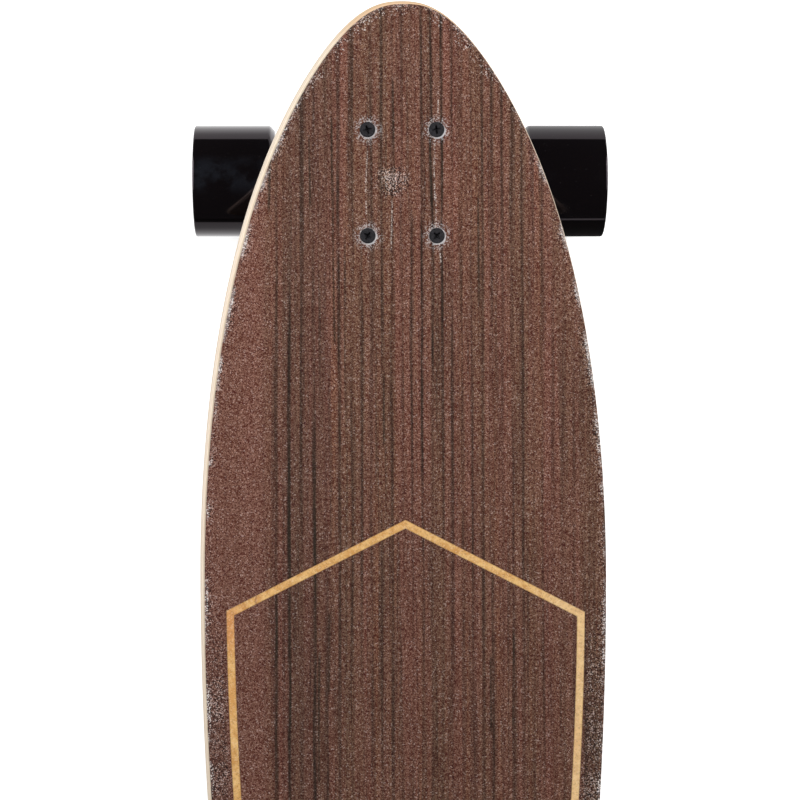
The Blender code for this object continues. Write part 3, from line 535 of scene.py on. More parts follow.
def veneer():
    """Striped dark veneer under gritty clear coat, from object coordinates along the grain."""
    made, place = material("striped_dark_veneer", Specular_IOR_Level=0.25)
    x, y, _ = place.split()
    rim = surface(place)[1]
    dark = tone(34, 21, 10)

    # Growth lines: 7.5 mm apart on the left and 6 mm on the right, wandering a little along the grain
    turning_x = 0.0305
    across = place.streaks(60.0, 5.0, 2.0, 0.5) * 0.0022 + (x + (turning_x - 0.0011))
    left_part = across.math("MINIMUM", 0.0) * (1 / 0.0075)
    phase = (across | 0.0) * (1 / 0.006) + left_part
    line_number = (phase + 0.5).math("FLOOR")
    lines = phase.math("PINGPONG", 0.5).ease(0.25, 0.03)
    depth = place.streaks(170.0, 4.0, 2.0).ease(0.36, 0.66, 0.12, 0.74)

    # Some of the lines are stronger over part of the board: (line, strength, tail end, nose end)
    stronger = 0.0
    for number, strength, tail_end, nose_end in (
        (-6, 0.9, -0.4, 0.11), (-5, 1.0, -0.36, 0.29), (-4, 0.6, 0.12, 0.24), (-3, 1.0, -0.4, 0.21),
        (-1, 0.9, 0.16, 0.41), (-2, 0.75, -0.36, 0.09), (6, 0.75, 0.16, 0.33), (7, 1.0, 0.15, 0.33),
        (8, 0.95, 0.26, 0.46), (9, 1.0, 0.26, 0.46), (10, 0.7, 0.15, 0.28), (11, 0.65, 0.15, 0.33),
        (13, 0.75, 0.26, 0.4), (14, 0.75, -0.1, 0.12), (4, 0.6, 0.33, 0.46), (16, 0.7, -0.25, 0.16),
    ):
        here = line_number.math("COMPARE", number, 0.1) * y.window(tail_end, nose_end, 0.03)
        stronger = here * strength + stronger
    ragged = place.streaks(500.0, 22.0)
    stronger = stronger * ragged.ease(0.34, 0.6, 0.35, 1.0)
    plain = x.ease(-0.078, -0.084)
    figured = 1.0 - (plain * 0.85 | x.ease(0.07, 0.1, 0.0, 0.2))
    lines = lines * (figured * (depth | stronger))

    # Fine fibres and pores between the growth lines
    pores = place.group(WOOD_GRAIN, 60.0, 950.0)[1].ease(0.46, 0.68)
    fibres = (place.streaks(430.0, 6.0).ease(0.46, 0.68) * 0.42 + pores * 0.25) * figured

    # Colour: red-brown, grey-brown and orange-brown bands, darkest a little left of the middle, under painted
    # shade that darkens the veneer from the nose half towards the tail
    colour = (place.streaks(75.0, 1.4).ease(0.36, 0.62).between(tone(118, 76, 62), tone(109, 76, 59))
              .coat(place.streaks(150.0, 2.2).ease(0.5, 0.72, 0.0, 0.5), tone(126, 78, 56))
              .coat(plain * 0.8, tone(118, 78, 65))
              .coat(x.window(-0.066, -0.052, 0.014) * 0.35, tone(82, 56, 47))
              .coat(fibres, dark)
              .coat(lines * 0.94, dark)
              # Painted shade: up to a fifth darker from the nose half towards the tail
              .coat(y.ease(0.38, 0.03, 0.0, 0.19), (0.0, 0.0, 0.0, 1.0)))

    # Dark checks along the grain
    checks = marks(across - turning_x, y, (
        (-41.8, 396, -40.6, 268), (-68.0, 219, -67.4, 125), (-67.4, 113, -67.4, 40), (-50.1, 77, -50.7, 6),
        (-52.5, 190, -52.5, 89), (-75.1, 101, -75.7, 54), (-44.2, 101, -44.2, 60), (-5.5, 420, -4.9, 361),
        (-78.7, 375, -79.3, 347), (-55.5, 385, -54.9, 349), (16.6, 385, 17.1, 349), (23.7, 387, 23.7, 346),
        (45.1, 349, 45.1, 290), (65.4, 89, 65.0, 40), (51.7, 75, 51.7, 36), (-11.4, 243, -11.4, 207),
    ), 0.0011, 0.006) * ragged.ease(0.3, 0.55, 0.4, 0.85)

    # Grit: light and dark neutral grains everywhere, more than twice as strong at the rim and over one patch.
    # The grains' neutral brightening and the light grains are partly the grit's own colour and partly painted
    # glints
    coarse, hue, dome = place.group(CLEAR_GRIT, 1750.0)
    fine, _, fine_dome = place.group(CLEAR_GRIT, 3100.0)
    sparkle = place.noise(45.0, 3.0, 0.6)
    patch = (sparkle * 0.012 + x.join(y).distance((-0.0061, 0.361, 0.0))).ease(0.0185, 0.009)
    near_rim = rim.ease(0.006, 0.0008) * sparkle.ease(0.42, 0.66, 0.1, 0.6)
    margin = rim.ease(0.013, 0.0085) * y.ease(0.12, 0.03)
    extra = patch | near_rim | margin * sparkle.ease(0.36, 0.6, 0.2, 0.65)
    swing = (coarse * 2.0 * (fine * 1.44 + 0.28) - 1.0) * (extra * 2.2 + 1.0)
    red, green, blue = (swing * share + 1.0 | 0.06 for share in (0.68, 1.06, 1.26))
    tint = hue.between((1.03, 0.99, 0.975, 1.0), (0.97, 1.01, 1.02, 1.0))
    # Light grains: partly the grit's own colour, partly painted glints
    light = (coarse > extra * -0.27 + 0.95) * (extra * 0.33 + 0.22) * (lines * -0.8 + 1.0)
    colour = (colour.coat(margin * 0.25, dark)
              .coat(1.0, red.join(green, blue), "MULTIPLY")
              .coat(1.0, tint, "MULTIPLY")
              .coat(light, tone(214, 200, 196))
              .coat(coarse.ease(0.28, 0.08, 0.0, 0.8) * extra, tone(40, 26, 22))
              .coat(checks * coarse.ease(0.3, 0.9, 1.0, 0.7), tone(28, 20, 8)))

    # The coat is worn pale at the rim: coarse specks, which reach further in at the nose, and a faint smear
    nose = y.ease(0.405, 0.435)
    patches = sparkle.ease(0.42, 0.6)
    specks = (rim < nose * 0.006 + 0.0017) * (coarse > nose * 0.2 + 0.72) * patches * (nose * -0.25 + 0.85)
    smear = rim.ease(0.0022, 0.0003) * patches * (y.window(0.26, 0.37, 0.03) * 0.19 + 0.05)
    colour = colour.coat(specks | smear, tone(226, 218, 214))

    # Chipped, whitened coat round the bolt heads, and a painted highlight on the lit side of each countersink
    # that makes the ring solid to the right of each bolt and on its tail side. The distance is folded on each
    # pattern's middle, so that it is the distance to the nearest of four bolts
    chips = place.noise(380.0, 4.0, 0.7)
    chipped = place.noise(130.0, 2.0, 0.6).ease(0.36, 0.6)
    halo = 0.0
    for end in ("front", "rear"):
        pattern_y = middle(f"{end}_riser_pad")[1]
        bolt_x, bolt_y, _ = middle(f"deck_bolt_{end}_left_nose")
        ahead = y - pattern_y
        fold_x, fold_y = abs(x) - abs(bolt_x), abs(ahead) - abs(bolt_y - pattern_y)
        to_bolt = fold_x.join(fold_y).distance()
        # Painted highlight: the lean fills the ring on the right and tail side of each bolt, the
        # countersink's lit side
        highlight_lean = (fold_x * x.math("SIGN") - fold_y * ahead.math("SIGN")).ease(-0.002, 0.006)
        ring = (highlight_lean * -0.0004 + (chips * -0.003 + to_bolt)).ease(0.0041, 0.0031)
        ring = ring * (highlight_lean * 0.8 | chipped * coarse.ease(0.3, 0.7, 0.25, 0.85))
        dust = (chips * -0.004 + to_bolt).ease(0.0082, 0.0034) * (coarse > 0.66)
        halo = ring | dust * 0.5 | halo

    # Thin whitened scratches along the grain in the bolt columns
    scratches = marks(x, y, (
        (-20.4, 386, -21.9, 358), (-21.9, 358, -21.4, 342), (-20.5, 324, -20.6, 313),
        (21.7, 413, 21.4, 399), (19.6, 387, 18.9, 368), (19.0, 368, 19.4, 352),
        (20.1, 351, 20.2, 333), (22.2, 324, 23.0, 311), (-6.1, 348, -6.7, 322),
    ), 0.00062, 0.004)
    broken = place.noise(420.0, 3.0, 0.7).ease(0.4, 0.56) * coarse.ease(0.35, 0.7, 0.1, 0.95)
    colour = colour.coat(halo * 0.88, tone(214, 214, 216)).coat(scratches * broken, tone(204, 190, 182))
    relief = dome * 0.6 + fine_dome * 0.4 - lines * 0.4
    return finish(made, colour, hue.ease(0.0, 1.0, 0.5, 0.85), relief.bump(0.00018, 0.6))


groove_low, groove_high = -0.0001, INLAY_WIDTH + 0.0001
groove = solid("inlay_groove", [inlay_grid([
    (groove_low, 0.0005), (groove_low, -0.002), (groove_high, -0.002), (groove_high, 0.0005),
    (groove_low, 0.0005),
])])
sheet_holes = countersunk_holes("sheet_holes", BOLT_HEAD_RADIUS + SHEET_GAP, BOLT_RADIUS + GAP)
fit(cut(sheet_piece(), sheet_holes, groove), [veneer()], "board", "top_sheet")


# Inlay stripe
# A thin strip of amber maple let into the veneer as a long six-sided frame, mitred at its corners and
# glued with a dark line on both sides. The grit coat runs over it as well.
def amber_inlay():
    """Amber maple with a mottled grain, glue-stained edges, one butt joint and the coat's grit."""
    made, place = material("amber_inlay_strip", Specular_IOR_Level=0.4)
    x = place.split()[0]
    grain, _, dome = place.group(CLEAR_GRIT, 1550.0)
    joint_x, joint_y, half = -0.0877, 0.1107, INLAY_WIDTH / 2
    joint = abs(x - joint_x).ease(0.001, 0.0002) * place.distance((joint_x, joint_y, TOP_Z)).ease(0.012, 0.01)
    glue = abs(surface(place)[1] - half).ease(half - 0.0006, half)
    left_shoulder = place.distance((-0.1045, 0.096, TOP_Z)).ease(0.022, 0.004, 0.0, 0.7)
    colour = (place.noise(260.0, 4.0, 0.65).ease(0.32, 0.68).between(tone(229, 187, 121), tone(201, 147, 80))
              .coat(place.noise(28.0).ease(0.45, 0.7, 0.0, 0.55), tone(212, 152, 83))
              .coat(x.ease(0.07, 0.1, 0.0, 0.3), tone(243, 219, 178))
              .coat(left_shoulder, tone(204, 134, 77))
              .coat(joint * 0.55, tone(150, 86, 48))
              .coat(glue * 0.6, tone(140, 92, 50))
              .coat(grain.ease(0.8, 0.95, 0.0, 0.35), tone(232, 208, 176))
              .coat(grain.ease(0.25, 0.05, 0.0, 0.35), tone(134, 90, 52)))
    return finish(made, colour, grain.ease(0.0, 1.0, 0.5, 0.8), dome.bump(0.00015, 0.6))


strip_drop, strip_bevel = INLAY_DEPTH - SHEET_GAP, 0.00006
strip_section = [
    (0, strip_drop), (0, strip_bevel), (strip_bevel, 0), (INLAY_WIDTH / 2, 0), (INLAY_WIDTH - strip_bevel, 0),
    (INLAY_WIDTH, strip_bevel), (INLAY_WIDTH, strip_drop), (0, strip_drop),
]
strip = inlay_grid(strip_section)
strip_map = np.meshgrid(np.linspace(0, 1, strip.shape[1] + 1), [distance for distance, drop in strip_section])
inlay = solid("amber_inlay", [strip], maps=[np.stack(strip_map, axis=-1)])
fit(inlay, [amber_inlay()], "board", "inlay_stripe")


# Deck bolts
# Eight black flat-head machine screws with a cross recess, set flush into countersunk holes. Their
# shanks pass through deck, riser and baseplate, and end in a rolled thread.
BOLT_LENGTH, BOLT_THREAD, BOLT_PITCH = 0.03, -0.016, 0.0008


def thread_rows(low, high, radius, pitch, rows_per_turn=6):
    """(height, radius) rows close enough together to carry a thread."""
    heights = np.linspace(low, high, int(abs(high - low) / pitch * rows_per_turn) + 2)
    return np.column_stack([heights, np.full(len(heights), radius)])


def cross_recess(place, turn):
    """Tool for a cross recess: a cross of four arms, turned about the bolt, tapers down from the head's
    face."""
    arm, half = BOLT_HEAD_RADIUS * 0.6, BOLT_HEAD_RADIUS * 0.14
    corners = np.array([half * (1.5 + 1.5j), half + 0.6j * arm, half + 1j * arm, -half + 1j * arm,
                        -half + 0.6j * arm])
    ring = (np.exp(0.5j * pi * np.arange(4))[:, None] * corners).ravel() * np.exp(1j * turn)
    rows = ((0.001, 0.0), (0.001, 1.05), (-0.0009, 0.85), (-0.0019, 0.45), (-0.0024, 0.0))
    grid = np.array([np.column_stack([ring.real * size, ring.imag * size, np.full(len(ring), height)])
                     for height, size in rows])
    return solid("recess", [grid + np.array(place)])


def black_oxide():
    """Blackened steel: charcoal with a cloudy sheen and small bright rubs on the raised places."""
    made, place = material("black_oxide_steel", Metallic=0.55)
    cloud = place.noise(900.0, 4.0, 0.6)
    rubs = place.noise(2600.0, 3.0, 0.6).ease(0.6, 0.72, 0.0, 0.45)
    colour = cloud.ease(0.35, 0.7).between(tone(27, 26, 29), tone(48, 46, 50)).coat(rubs, tone(120, 118, 120))
    return finish(made, colour, cloud.ease(0.3, 0.7, 0.5, 0.7), cloud.bump(0.00004, 0.4))


BLACK_OXIDE = black_oxide()
bolt_head = rounded([(0, 0), (0, BOLT_HEAD_RADIUS), (-BOLT_HEAD_DEPTH, BOLT_RADIUS),
                     (BOLT_THREAD, BOLT_RADIUS)], (0, 0.00012, 0.0006, 0))
bolt_shank = thread_rows(BOLT_THREAD, 0.0003 - BOLT_LENGTH, BOLT_RADIUS, BOLT_PITCH)
bolt_tip = [(0.0001 - BOLT_LENGTH, BOLT_RADIUS - 0.0004), (0.0001 - BOLT_LENGTH, 0)]
bolt_rows = np.concatenate([bolt_head, bolt_shank[1:], bolt_tip])
for number, node in enumerate(BOLTS):
    seat = middle(node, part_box(node)[1].z - 0.0001)
    grid = turned(bolt_rows, 32, seat, thread=(-BOLT_LENGTH, BOLT_THREAD, BOLT_PITCH, 0.00045))
    bolt = solid(node.replace("deck_bolt", "flat_head"), [grid])
    fit(cut(bolt, cross_recess(seat, 0.3 + 0.7 * number)), [BLACK_OXIDE], "board", node)


# Deck nuts
# Zinc-plated hexagon lock nuts under the baseplates, chamfered at both faces, with a nylon ring rolled
# into the collar.
def nut_grids(half_flats, height, bore, collar, origin, axis):
    """A lock nut as two turned grids, metal and nylon. The metal's corners are cut by the chamfer's cone."""
    corner, chamfer, shoulder = half_flats / cos(pi / 6), 0.1 * half_flats, height - collar
    section = rounded([
        (0, bore), (0, half_flats * 0.96), (chamfer, corner), (shoulder - chamfer, corner),
        (shoulder, half_flats * 0.96), (shoulder + 0.0002, half_flats * 0.88), (height, half_flats * 0.8),
        (height, half_flats * 0.66), (height - 0.0005, half_flats * 0.64), (height - 0.0007, bore), (0, bore),
    ], 0.0002, 3)
    dense = np.concatenate([np.linspace(a, b, 5)[:-1] for a, b in zip(section, section[1:])] + [section[-1:]])
    low, inner, outer = height - 0.0012, bore * 0.97, half_flats * 0.645
    ring = [(low, inner), (height - 0.00045, inner), (height - 0.00035, outer), (low, outer), (low, inner)]
    return [turned(dense, 72, origin, axis, half_flats=half_flats), turned(ring, 48, origin, axis)]


def plated_steel(place, line_stretch):
    """Plated steel: soft tarnish clouds, and fine brushed lines along the axis given by the stretch."""
    lines = place.stretch(line_stretch).noise(2200.0, 3.0, 0.6)
    return {"Tarnish": place.noise(140.0, 4.0, 0.6), "Lines": lines}


PLATED_STEEL = shared_effect(plated_steel, {"Line Stretch": (1.0, 1.0, 1.0)})


def zinc_plate():
    """Bright zinc plate with a faint yellow-grey tarnish in patches."""
    made, place = material("bright_zinc", Metallic=1.0)
    tarnish, lines = place.group(PLATED_STEEL, (1.0, 1.0, 0.05))
    colour = (tarnish.ease(0.4, 0.65).between(tone(206, 207, 205), tone(172, 170, 162))
              .coat(lines.ease(0.55, 0.75, 0.0, 0.3), tone(140, 138, 132)))
    return finish(made, colour, tarnish.ease(0.35, 0.7, 0.24, 0.42), lines.bump(0.00002, 0.35))


def clouded_plastic(name, scale, light, deep, roughness):
    """Plastic or rubber whose colour and gloss cloud together."""
    made, place = material(name)
    cloud = place.noise(scale, 3.0)
    return finish(made, cloud.between(light, deep), cloud.ease(0.3, 0.7, *roughness))


def fit_nut(name, grids, body, node):
    """A lock nut of zinc-plated metal and its nylon ring."""
    fit(solid(name, grids, (0, 1), sharp=28), [ZINC, NYLON], body, node)


ZINC = zinc_plate()
NYLON = clouded_plastic("nylon_ring", 800.0, tone(226, 224, 214), tone(200, 198, 188), (0.38, 0.55))
for node in sorted(node for node in frame["nodes"] if node.startswith("deck_nut_")):
    low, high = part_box(node)
    grids = nut_grids(0.00475, high.z - low.z, BOLT_RADIUS + 0.00005, 0.0012, middle(node, high.z),
                      (0, 0, -1))
    fit_nut(node.replace("deck_nut", "lock_nut"), grids, "board", node)


# Riser pads
# A moulded rubber pad between the deck and each baseplate, which spreads the load and damps vibration.
# Its outline is the baseplate's with a small lip all round.
ENDS = {"front": 1, "rear": -1}


def placed(grid, end):
    """A grid in a truck's own frame (+Y outward from its bolt pattern) put at that end of the board."""
    return grid * (ENDS[end], ENDS[end], 1) + (0, middle(f"{end}_riser_pad")[1], 0)


def pad_grid(half_x, half_y, corner, low, high, edge):
    """Grid of a flat pad: bottom middle, bottom edge, side, top edge and top middle, edges rounded. In plan
    each corner is a quarter circle round its own centre."""
    turn = (np.arange(160) + 0.5) * 2 * pi / 160
    outward = np.stack([np.cos(turn), np.sin(turn)], axis=1)
    outline = np.sign(outward) * (half_x - corner, half_y - corner) + outward * corner
    section = rounded([(0, low), (half_x, low), (half_x, high), (0, high)], edge, 5)
    inward = np.linspace(0, 1, 5)[:, None]
    section = np.concatenate([section[0] + (section[1] - section[0]) * inward, section[1:]])
    share = np.minimum(1, section[:, 0] / (half_x - edge))
    inset = np.clip(half_x - section[:, 0], 0, edge) * (share >= 1) + edge * (share < 1)
    return plate_grid(outline, outward, outline * 0, share, inset[:, None], section[:, 1:])


def bolt_holes(end, low, high):
    """Tool for the four upright holes of a truck's bolts."""
    nodes = [node for node in BOLTS if f"_{end}_" in node]
    return solid(f"{end}_holes", [rod(low, high, BOLT_RADIUS + GAP, 32, middle(node)) for node in nodes])


def satin_skin(place, peel_scale):
    """Satin skin of a coat or moulding: orange peel, broad mottling, and dust that gathers in patches."""
    return {"Peel": place.noise(peel_scale, 2.0, 0.5), "Mottle": place.noise(160.0, 4.0, 0.6),
            "Dust": place.noise(55.0, 5.0, 0.65).ease(0.52, 0.75)}


SATIN_SKIN = shared_effect(satin_skin, {"Peel Scale": 1100.0})


def moulded_black(name, peel_scale, bloom_from, light, deep, roughness, relief, **constants):
    """Black moulding with a fine texture: colour and gloss vary with the mottling of its skin."""
    made, place = material(name, **constants)
    peel, mottle, _ = place.group(SATIN_SKIN, peel_scale)
    colour = mottle.ease(bloom_from, 0.7).between(light, deep)
    return finish(made, colour, mottle.ease(0.3, 0.7, *roughness), peel.bump(*relief))


RUBBER = moulded_black("black_riser_rubber", 3200.0, 0.42, tone(26, 26, 27), tone(48, 47, 46), (0.72, 0.86),
                       (0.00005, 0.5), Specular_IOR_Level=0.35)
for end in ENDS:
    low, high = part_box(f"{end}_riser_pad")
    grid = pad_grid(high.x, (high.y - low.y) / 2, 0.009, low.z, high.z, 0.0006)
    riser = cut(solid(f"{end}_rubber_riser", [placed(grid, end)]),
                bolt_holes(end, low.z - 0.01, high.z + 0.01))
    fit(riser, [RUBBER], "board", f"{end}_riser_pad")


# Baseplates
# Cast aluminium, black powder coat: a flat plate with a slanted seat for the bushings, and a tower with
# the socket of the pivot cup. The kingpin's head sits in a pocket on its upper side.
SLANT = np.array([0, cos(radians(45)), sin(radians(45))])
KINGPIN = np.array([0, -SLANT[2], SLANT[1]])
PIVOT_REACH = 0.037
steer_at = Vector(next(joint["pos_m"] for joint in frame["joints"] if joint["name"] == "front_steer"))
PIVOT = np.array([0, steer_at[1] - middle("front_riser_pad")[1], steer_at[2]])
RING = PIVOT + SLANT * PIVOT_REACH
PLATE_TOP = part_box("front_riser_pad")[0].z - GAP
PLATE_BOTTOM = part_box("deck_nut_front_left_nose")[1].z + GAP
BODY_TOP = PLATE_BOTTOM + 0.003
SEAT_OFFSET = 0.0185
BODY_OFFSET = SEAT_OFFSET + 0.001
KINGPIN_RADIUS = 0.005
BORE = KINGPIN_RADIUS + GAP
KINGPIN_HEAD_LOW, KINGPIN_HEAD_HIGH = 0.035, 0.0405


def side_plate(points, widths):
    """Grid across X of a (y, z) side outline: each (x, size) draws the outline in about its middle."""
    centre = points.mean(axis=0)
    rows = [(widths[0][0], 0.0), *widths, (widths[-1][0], 0.0)]
    return np.array([np.column_stack([np.full(len(points), x), centre + (points - centre) * size])
                     for x, size in rows])


def slanted(origin, along, up):
    """(y, z) of a point measured from an origin along the steering axis and up the kingpin."""
    return (origin + SLANT * along + KINGPIN * up)[1:]


def casting(end, name, parts, holes, *tools):
    """Solids run together as a casting: remeshed as one skin, smoothed so that joins fill and edges
    soften, then machined with the holes and the other tools."""
    made = solid(f"{end}_{name}", [placed(grid, end) for grid in parts])
    skin = made.modifiers.new("skin", "REMESH")
    skin.mode, skin.voxel_size = "VOXEL", 0.0007
    soften = made.modifiers.new("soften", "SMOOTH")
    soften.factor, soften.iterations = 0.5, 6
    settle(made)
    return cut(made, *(solid("hole", [placed(grid, end)]) for grid in holes), *tools, sharp=35)


def cast_black():
    """Satin black powder coat over aluminium, bare metal rubs on its sharpest edges."""
    made, place = material("black_powder_coat")
    peel, mottle, dust = place.group(SATIN_SKIN, 1100.0)
    rubbed = place.noise(420.0, 5.0, 0.7).ease(0.66, 0.72)
    colour = (mottle.ease(0.3, 0.7).between(tone(30, 30, 32), tone(42, 42, 44))
              .coat(dust * 0.18, tone(120, 114, 106))
              .coat(rubbed * 0.5, tone(150, 150, 150)))
    return finish(made, colour, mottle.ease(0.3, 0.7, 0.36, 0.5), peel.bump(0.00008, 0.5),
                  Metallic=rubbed * 0.6)


CAST_BLACK = cast_black()
seat_run = (BODY_TOP - RING[2] - KINGPIN[2] * BODY_OFFSET) / SLANT[2]
body_outline = rounded([
    slanted(RING, seat_run, BODY_OFFSET), slanted(PIVOT, 0.002, BODY_OFFSET), slanted(PIVOT, 0.002, 0.005),
    slanted(PIVOT, -0.008, 0.004), (-0.03, 0.052), (-0.0385, BODY_TOP),
], 0.0015, 3, closed=True)[:-1]
plate_parts = [
    pad_grid(0.027, 0.042, 0.008, PLATE_BOTTOM, PLATE_TOP, 0.001),
    side_plate(body_outline, ((-0.0125, 0.88), (-0.011, 1), (0.011, 1), (0.0125, 0.88))),
    turned([(SEAT_OFFSET, 0), (SEAT_OFFSET, 0.014), (0.03, 0.0155), (0.03, 0)], 64, RING, KINGPIN),
    turned([(0.0026, 0), (0.0026, 0.0094), (-0.0085, 0.01), (-0.011, 0.008), (-0.011, 0)], 64, PIVOT, SLANT),
]
plate_holes = [rod(0.01, 0.06, BORE, 48, RING, KINGPIN),
               rod(KINGPIN_HEAD_LOW - GAP, 0.07, 0.0092, 48, RING, KINGPIN),
               rod(-0.0083, 0.01, 0.0076, 48, PIVOT, SLANT)]
for end in ENDS:
    upright = bolt_holes(end, PLATE_BOTTOM - 0.02, PLATE_TOP + 0.01)
    baseplate = casting(end, "cast_baseplate", plate_parts, plate_holes, upright)
    fit(baseplate, [CAST_BLACK], "board", f"{end}_baseplate")


# Kingpins
# A steel bolt at right angles to the steering axis, its round head in the baseplate's pocket. It carries
# both bushings and the hanger's ring, and a lock nut on its road end sets the bushings' squeeze.
KINGPIN_END, KINGPIN_THREAD, KINGPIN_PITCH = -0.033, -0.018, 0.00106
CONE_END = -0.0165
WASHER_TOP, WASHER_END = CONE_END - GAP, CONE_END - GAP - 0.0018


def turned_piece(end, name, profile, segments, origin, axis, thread=None):
    """A turned part of one truck, with a map of turn and profile length."""
    grid = placed(turned(profile, segments, origin, axis, thread), end)
    return solid(f"{end}_{name}", [grid], maps=[turned_map(profile, segments)])


def machined_steel():
    """Bright steel with turning marks round it and a thin oil film."""
    made, place = material("machined_steel", Metallic=1.0)
    turn, along = surface(place)
    cuts = turn.join(along * 9000.0).noise(1.0, 3.0, 0.6)
    tarnish, lines = place.group(PLATED_STEEL, (1.0, 1.0, 1.0))
    colour = (tarnish.ease(0.35, 0.7).between(tone(204, 204, 203), tone(168, 166, 162))
              .coat(lines.ease(0.6, 0.8, 0.0, 0.3), tone(120, 116, 110)))
    return finish(made, colour, cuts.ease(0.3, 0.7, 0.2, 0.38), cuts.bump(0.00001, 0.4))


STEEL = machined_steel()
kingpin_shank = thread_rows(KINGPIN_END + 0.0008, KINGPIN_THREAD, KINGPIN_RADIUS, KINGPIN_PITCH)
kingpin_head = rounded([
    (KINGPIN_THREAD, KINGPIN_RADIUS), (KINGPIN_HEAD_LOW, KINGPIN_RADIUS), (KINGPIN_HEAD_LOW, 0.0085),
    (KINGPIN_HEAD_HIGH, 0.0085), (KINGPIN_HEAD_HIGH, 0),
], (0, 0.0003, 0.0004, 0.0012, 0), 5)
kingpin_tip = [(KINGPIN_END, 0), (KINGPIN_END, KINGPIN_RADIUS - 0.0009)]
kingpin_rows = np.concatenate([kingpin_tip, kingpin_shank, kingpin_head[1:]])
kingpin_nut = nut_grids(0.0072, 0.0095, KINGPIN_RADIUS + 0.0001, 0.0022, RING + KINGPIN * (WASHER_END - GAP),
                        -KINGPIN)
washer_cup = rounded([
    (WASHER_TOP, BORE), (WASHER_TOP, 0.0101), (-0.0157, 0.0104), (-0.0157, 0.0114), (WASHER_END, 0.011),
    (WASHER_END, BORE), (WASHER_TOP, BORE),
], (0, 0.0005, 0.0003, 0.0003, 0.0012, 0.0003, 0))
for end in ENDS:
    kingpin = turned_piece(end, "steel_kingpin", kingpin_rows, 40, RING, KINGPIN,
                           (KINGPIN_END, KINGPIN_THREAD, KINGPIN_PITCH, 0.0006))
    fit(kingpin, [STEEL], "board", f"{end}_kingpin")
    grids = [placed(grid, end) for grid in kingpin_nut]
    fit_nut(f"{end}_kingpin_lock_nut", grids, "board", f"{end}_kingpin_nut")
    washer = turned_piece(end, "zinc_washer", washer_cup, 72, RING, KINGPIN)
    fit(washer, [ZINC], "board", f"{end}_cup_washer")


# Bushings and pivot cups
# Poured urethane: a barrel on the board side of the hanger's ring, a cone on the road side, and a cup in the
# baseplate's tower that holds the hanger's nose. The bores of barrel and cone widen towards the ring.
BUSHING_RADIUS = 0.012
BARREL_END = SEAT_OFFSET - GAP
RING_FACE = 0.0055 + GAP
WIDE_BORE = KINGPIN_RADIUS + 0.0029


def urethane(name, light, deep, roughness):
    """Cast urethane: clouded colour, a faint swirl from pouring and a satin skin."""
    made, place = material(name)
    skin = place.noise(900.0, 3.0)
    colour = place.noise(70.0, 3.0, 0.6).ease(0.35, 0.68).between(light, deep)
    return finish(made, colour, skin.ease(0.3, 0.7, roughness, roughness + 0.14), skin.bump(0.00003, 0.4))


def in_steps(rows, step=0.0012):
    """The same (height, radius) outline with points no further apart than a step."""
    result = [rows[:1]]
    for first, second in zip(rows[:-1], rows[1:]):
        count = int(np.ceil(np.linalg.norm(second - first) / step))
        result.append(first + (second - first) * np.linspace(0, 1, count + 1)[1:, None])
    return np.concatenate(result)


BUSHING_URETHANE = urethane("milky_urethane", tone(212, 203, 184), tone(188, 176, 154), 0.32)
CUP_URETHANE = urethane("black_urethane", tone(34, 34, 35), tone(46, 45, 44), 0.4)
barrel = rounded([
    (RING_FACE, WIDE_BORE), (RING_FACE, BUSHING_RADIUS), (BARREL_END, BUSHING_RADIUS), (BARREL_END, BORE),
    (BARREL_END - 0.006, WIDE_BORE), (RING_FACE, WIDE_BORE),
], (0, 0.0014, 0.0014, 0.0003, 0, 0), 6)
cone = rounded([
    (-RING_FACE, WIDE_BORE), (-RING_FACE, BUSHING_RADIUS), (-RING_FACE - 0.0018, BUSHING_RADIUS),
    (CONE_END, 0.0098), (CONE_END, BORE), (CONE_END + 0.005, WIDE_BORE), (-RING_FACE, WIDE_BORE),
], (0, 0.001, 0.0012, 0.0008, 0.0003, 0, 0), 6)
pivot_cup = rounded([
    (-0.008, 0), (-0.008, 0.0073), (0.0022, 0.0073), (0.0022, 0.0053), (-0.002, 0.0053), (-0.0054, 0.0036),
    (-0.0056, 0),
], (0, 0.0014, 0.0003, 0.0004, 0.001, 0.001, 0), 5)
for end in ENDS:
    # Each bushing is given the truck and its still and ring ends as its bend
    for name, outline, still, moving, node in (
        ("urethane_barrel", barrel, BARREL_END, RING_FACE, "boardside_bushing"),
        ("urethane_cone", cone, CONE_END, -RING_FACE, "roadside_bushing"),
    ):
        bushing = turned_piece(end, name, in_steps(outline), 96, RING, KINGPIN)
        start, stop = (tuple(placed(RING + KINGPIN * height, end)) for height in (still, moving))
        fit(bushing, [BUSHING_URETHANE], "board", f"{end}_{node}",
            (f"{end}_truck", start, stop))
    cup = turned_piece(end, "urethane_cup", pivot_cup, 72, PIVOT, SLANT)
    fit(cup, [CUP_URETHANE], "board", f"{end}_pivot_cup")


# Hangers
# Cast aluminium, black powder coat: the housing of the axle, a ring that the bushings squeeze, the nose
# that turns in the pivot cup, and a web between them that runs out along the housing.
AXLE = np.array([0, 0.01, 0.035])
AXLE_RADIUS = 0.004
HANGER_HALF = 0.09
ALONG_X = (1, 0, 0)


def web_grid():
    """The web: its side outline is full in the middle and shrinks towards the housing by a power of the
    way out."""
    outline = rounded([(0.03, 0.0035), (0.03, -0.0045), (0.0242, -0.005), (0.0205, -0.01),
                       (0.012, -0.016), (0.008, -0.01), (0.0095, 0.001), (0.016, 0.0035)],
                      0.0016, 3, closed=True)[:-1]
    across = np.linspace(-0.062, 0.062, 41)
    out = np.clip((np.abs(across) - 0.006) / 0.056, 0, 1)
    size = np.concatenate([[0], 0.25 + 0.75 * (1 - out) ** 1.25, [0]])[:, None, None]
    across = np.concatenate([across[:1], across, across[-1:]])
    points = PIVOT[1:] + outline[:, :1] * SLANT[None, 1:] + outline[:, 1:] * KINGPIN[None, 1:]
    section = AXLE[1:] + (points[None] - AXLE[1:]) * size
    return np.concatenate([np.broadcast_to(across[:, None, None], (*section.shape[:2], 1)), section], axis=2)


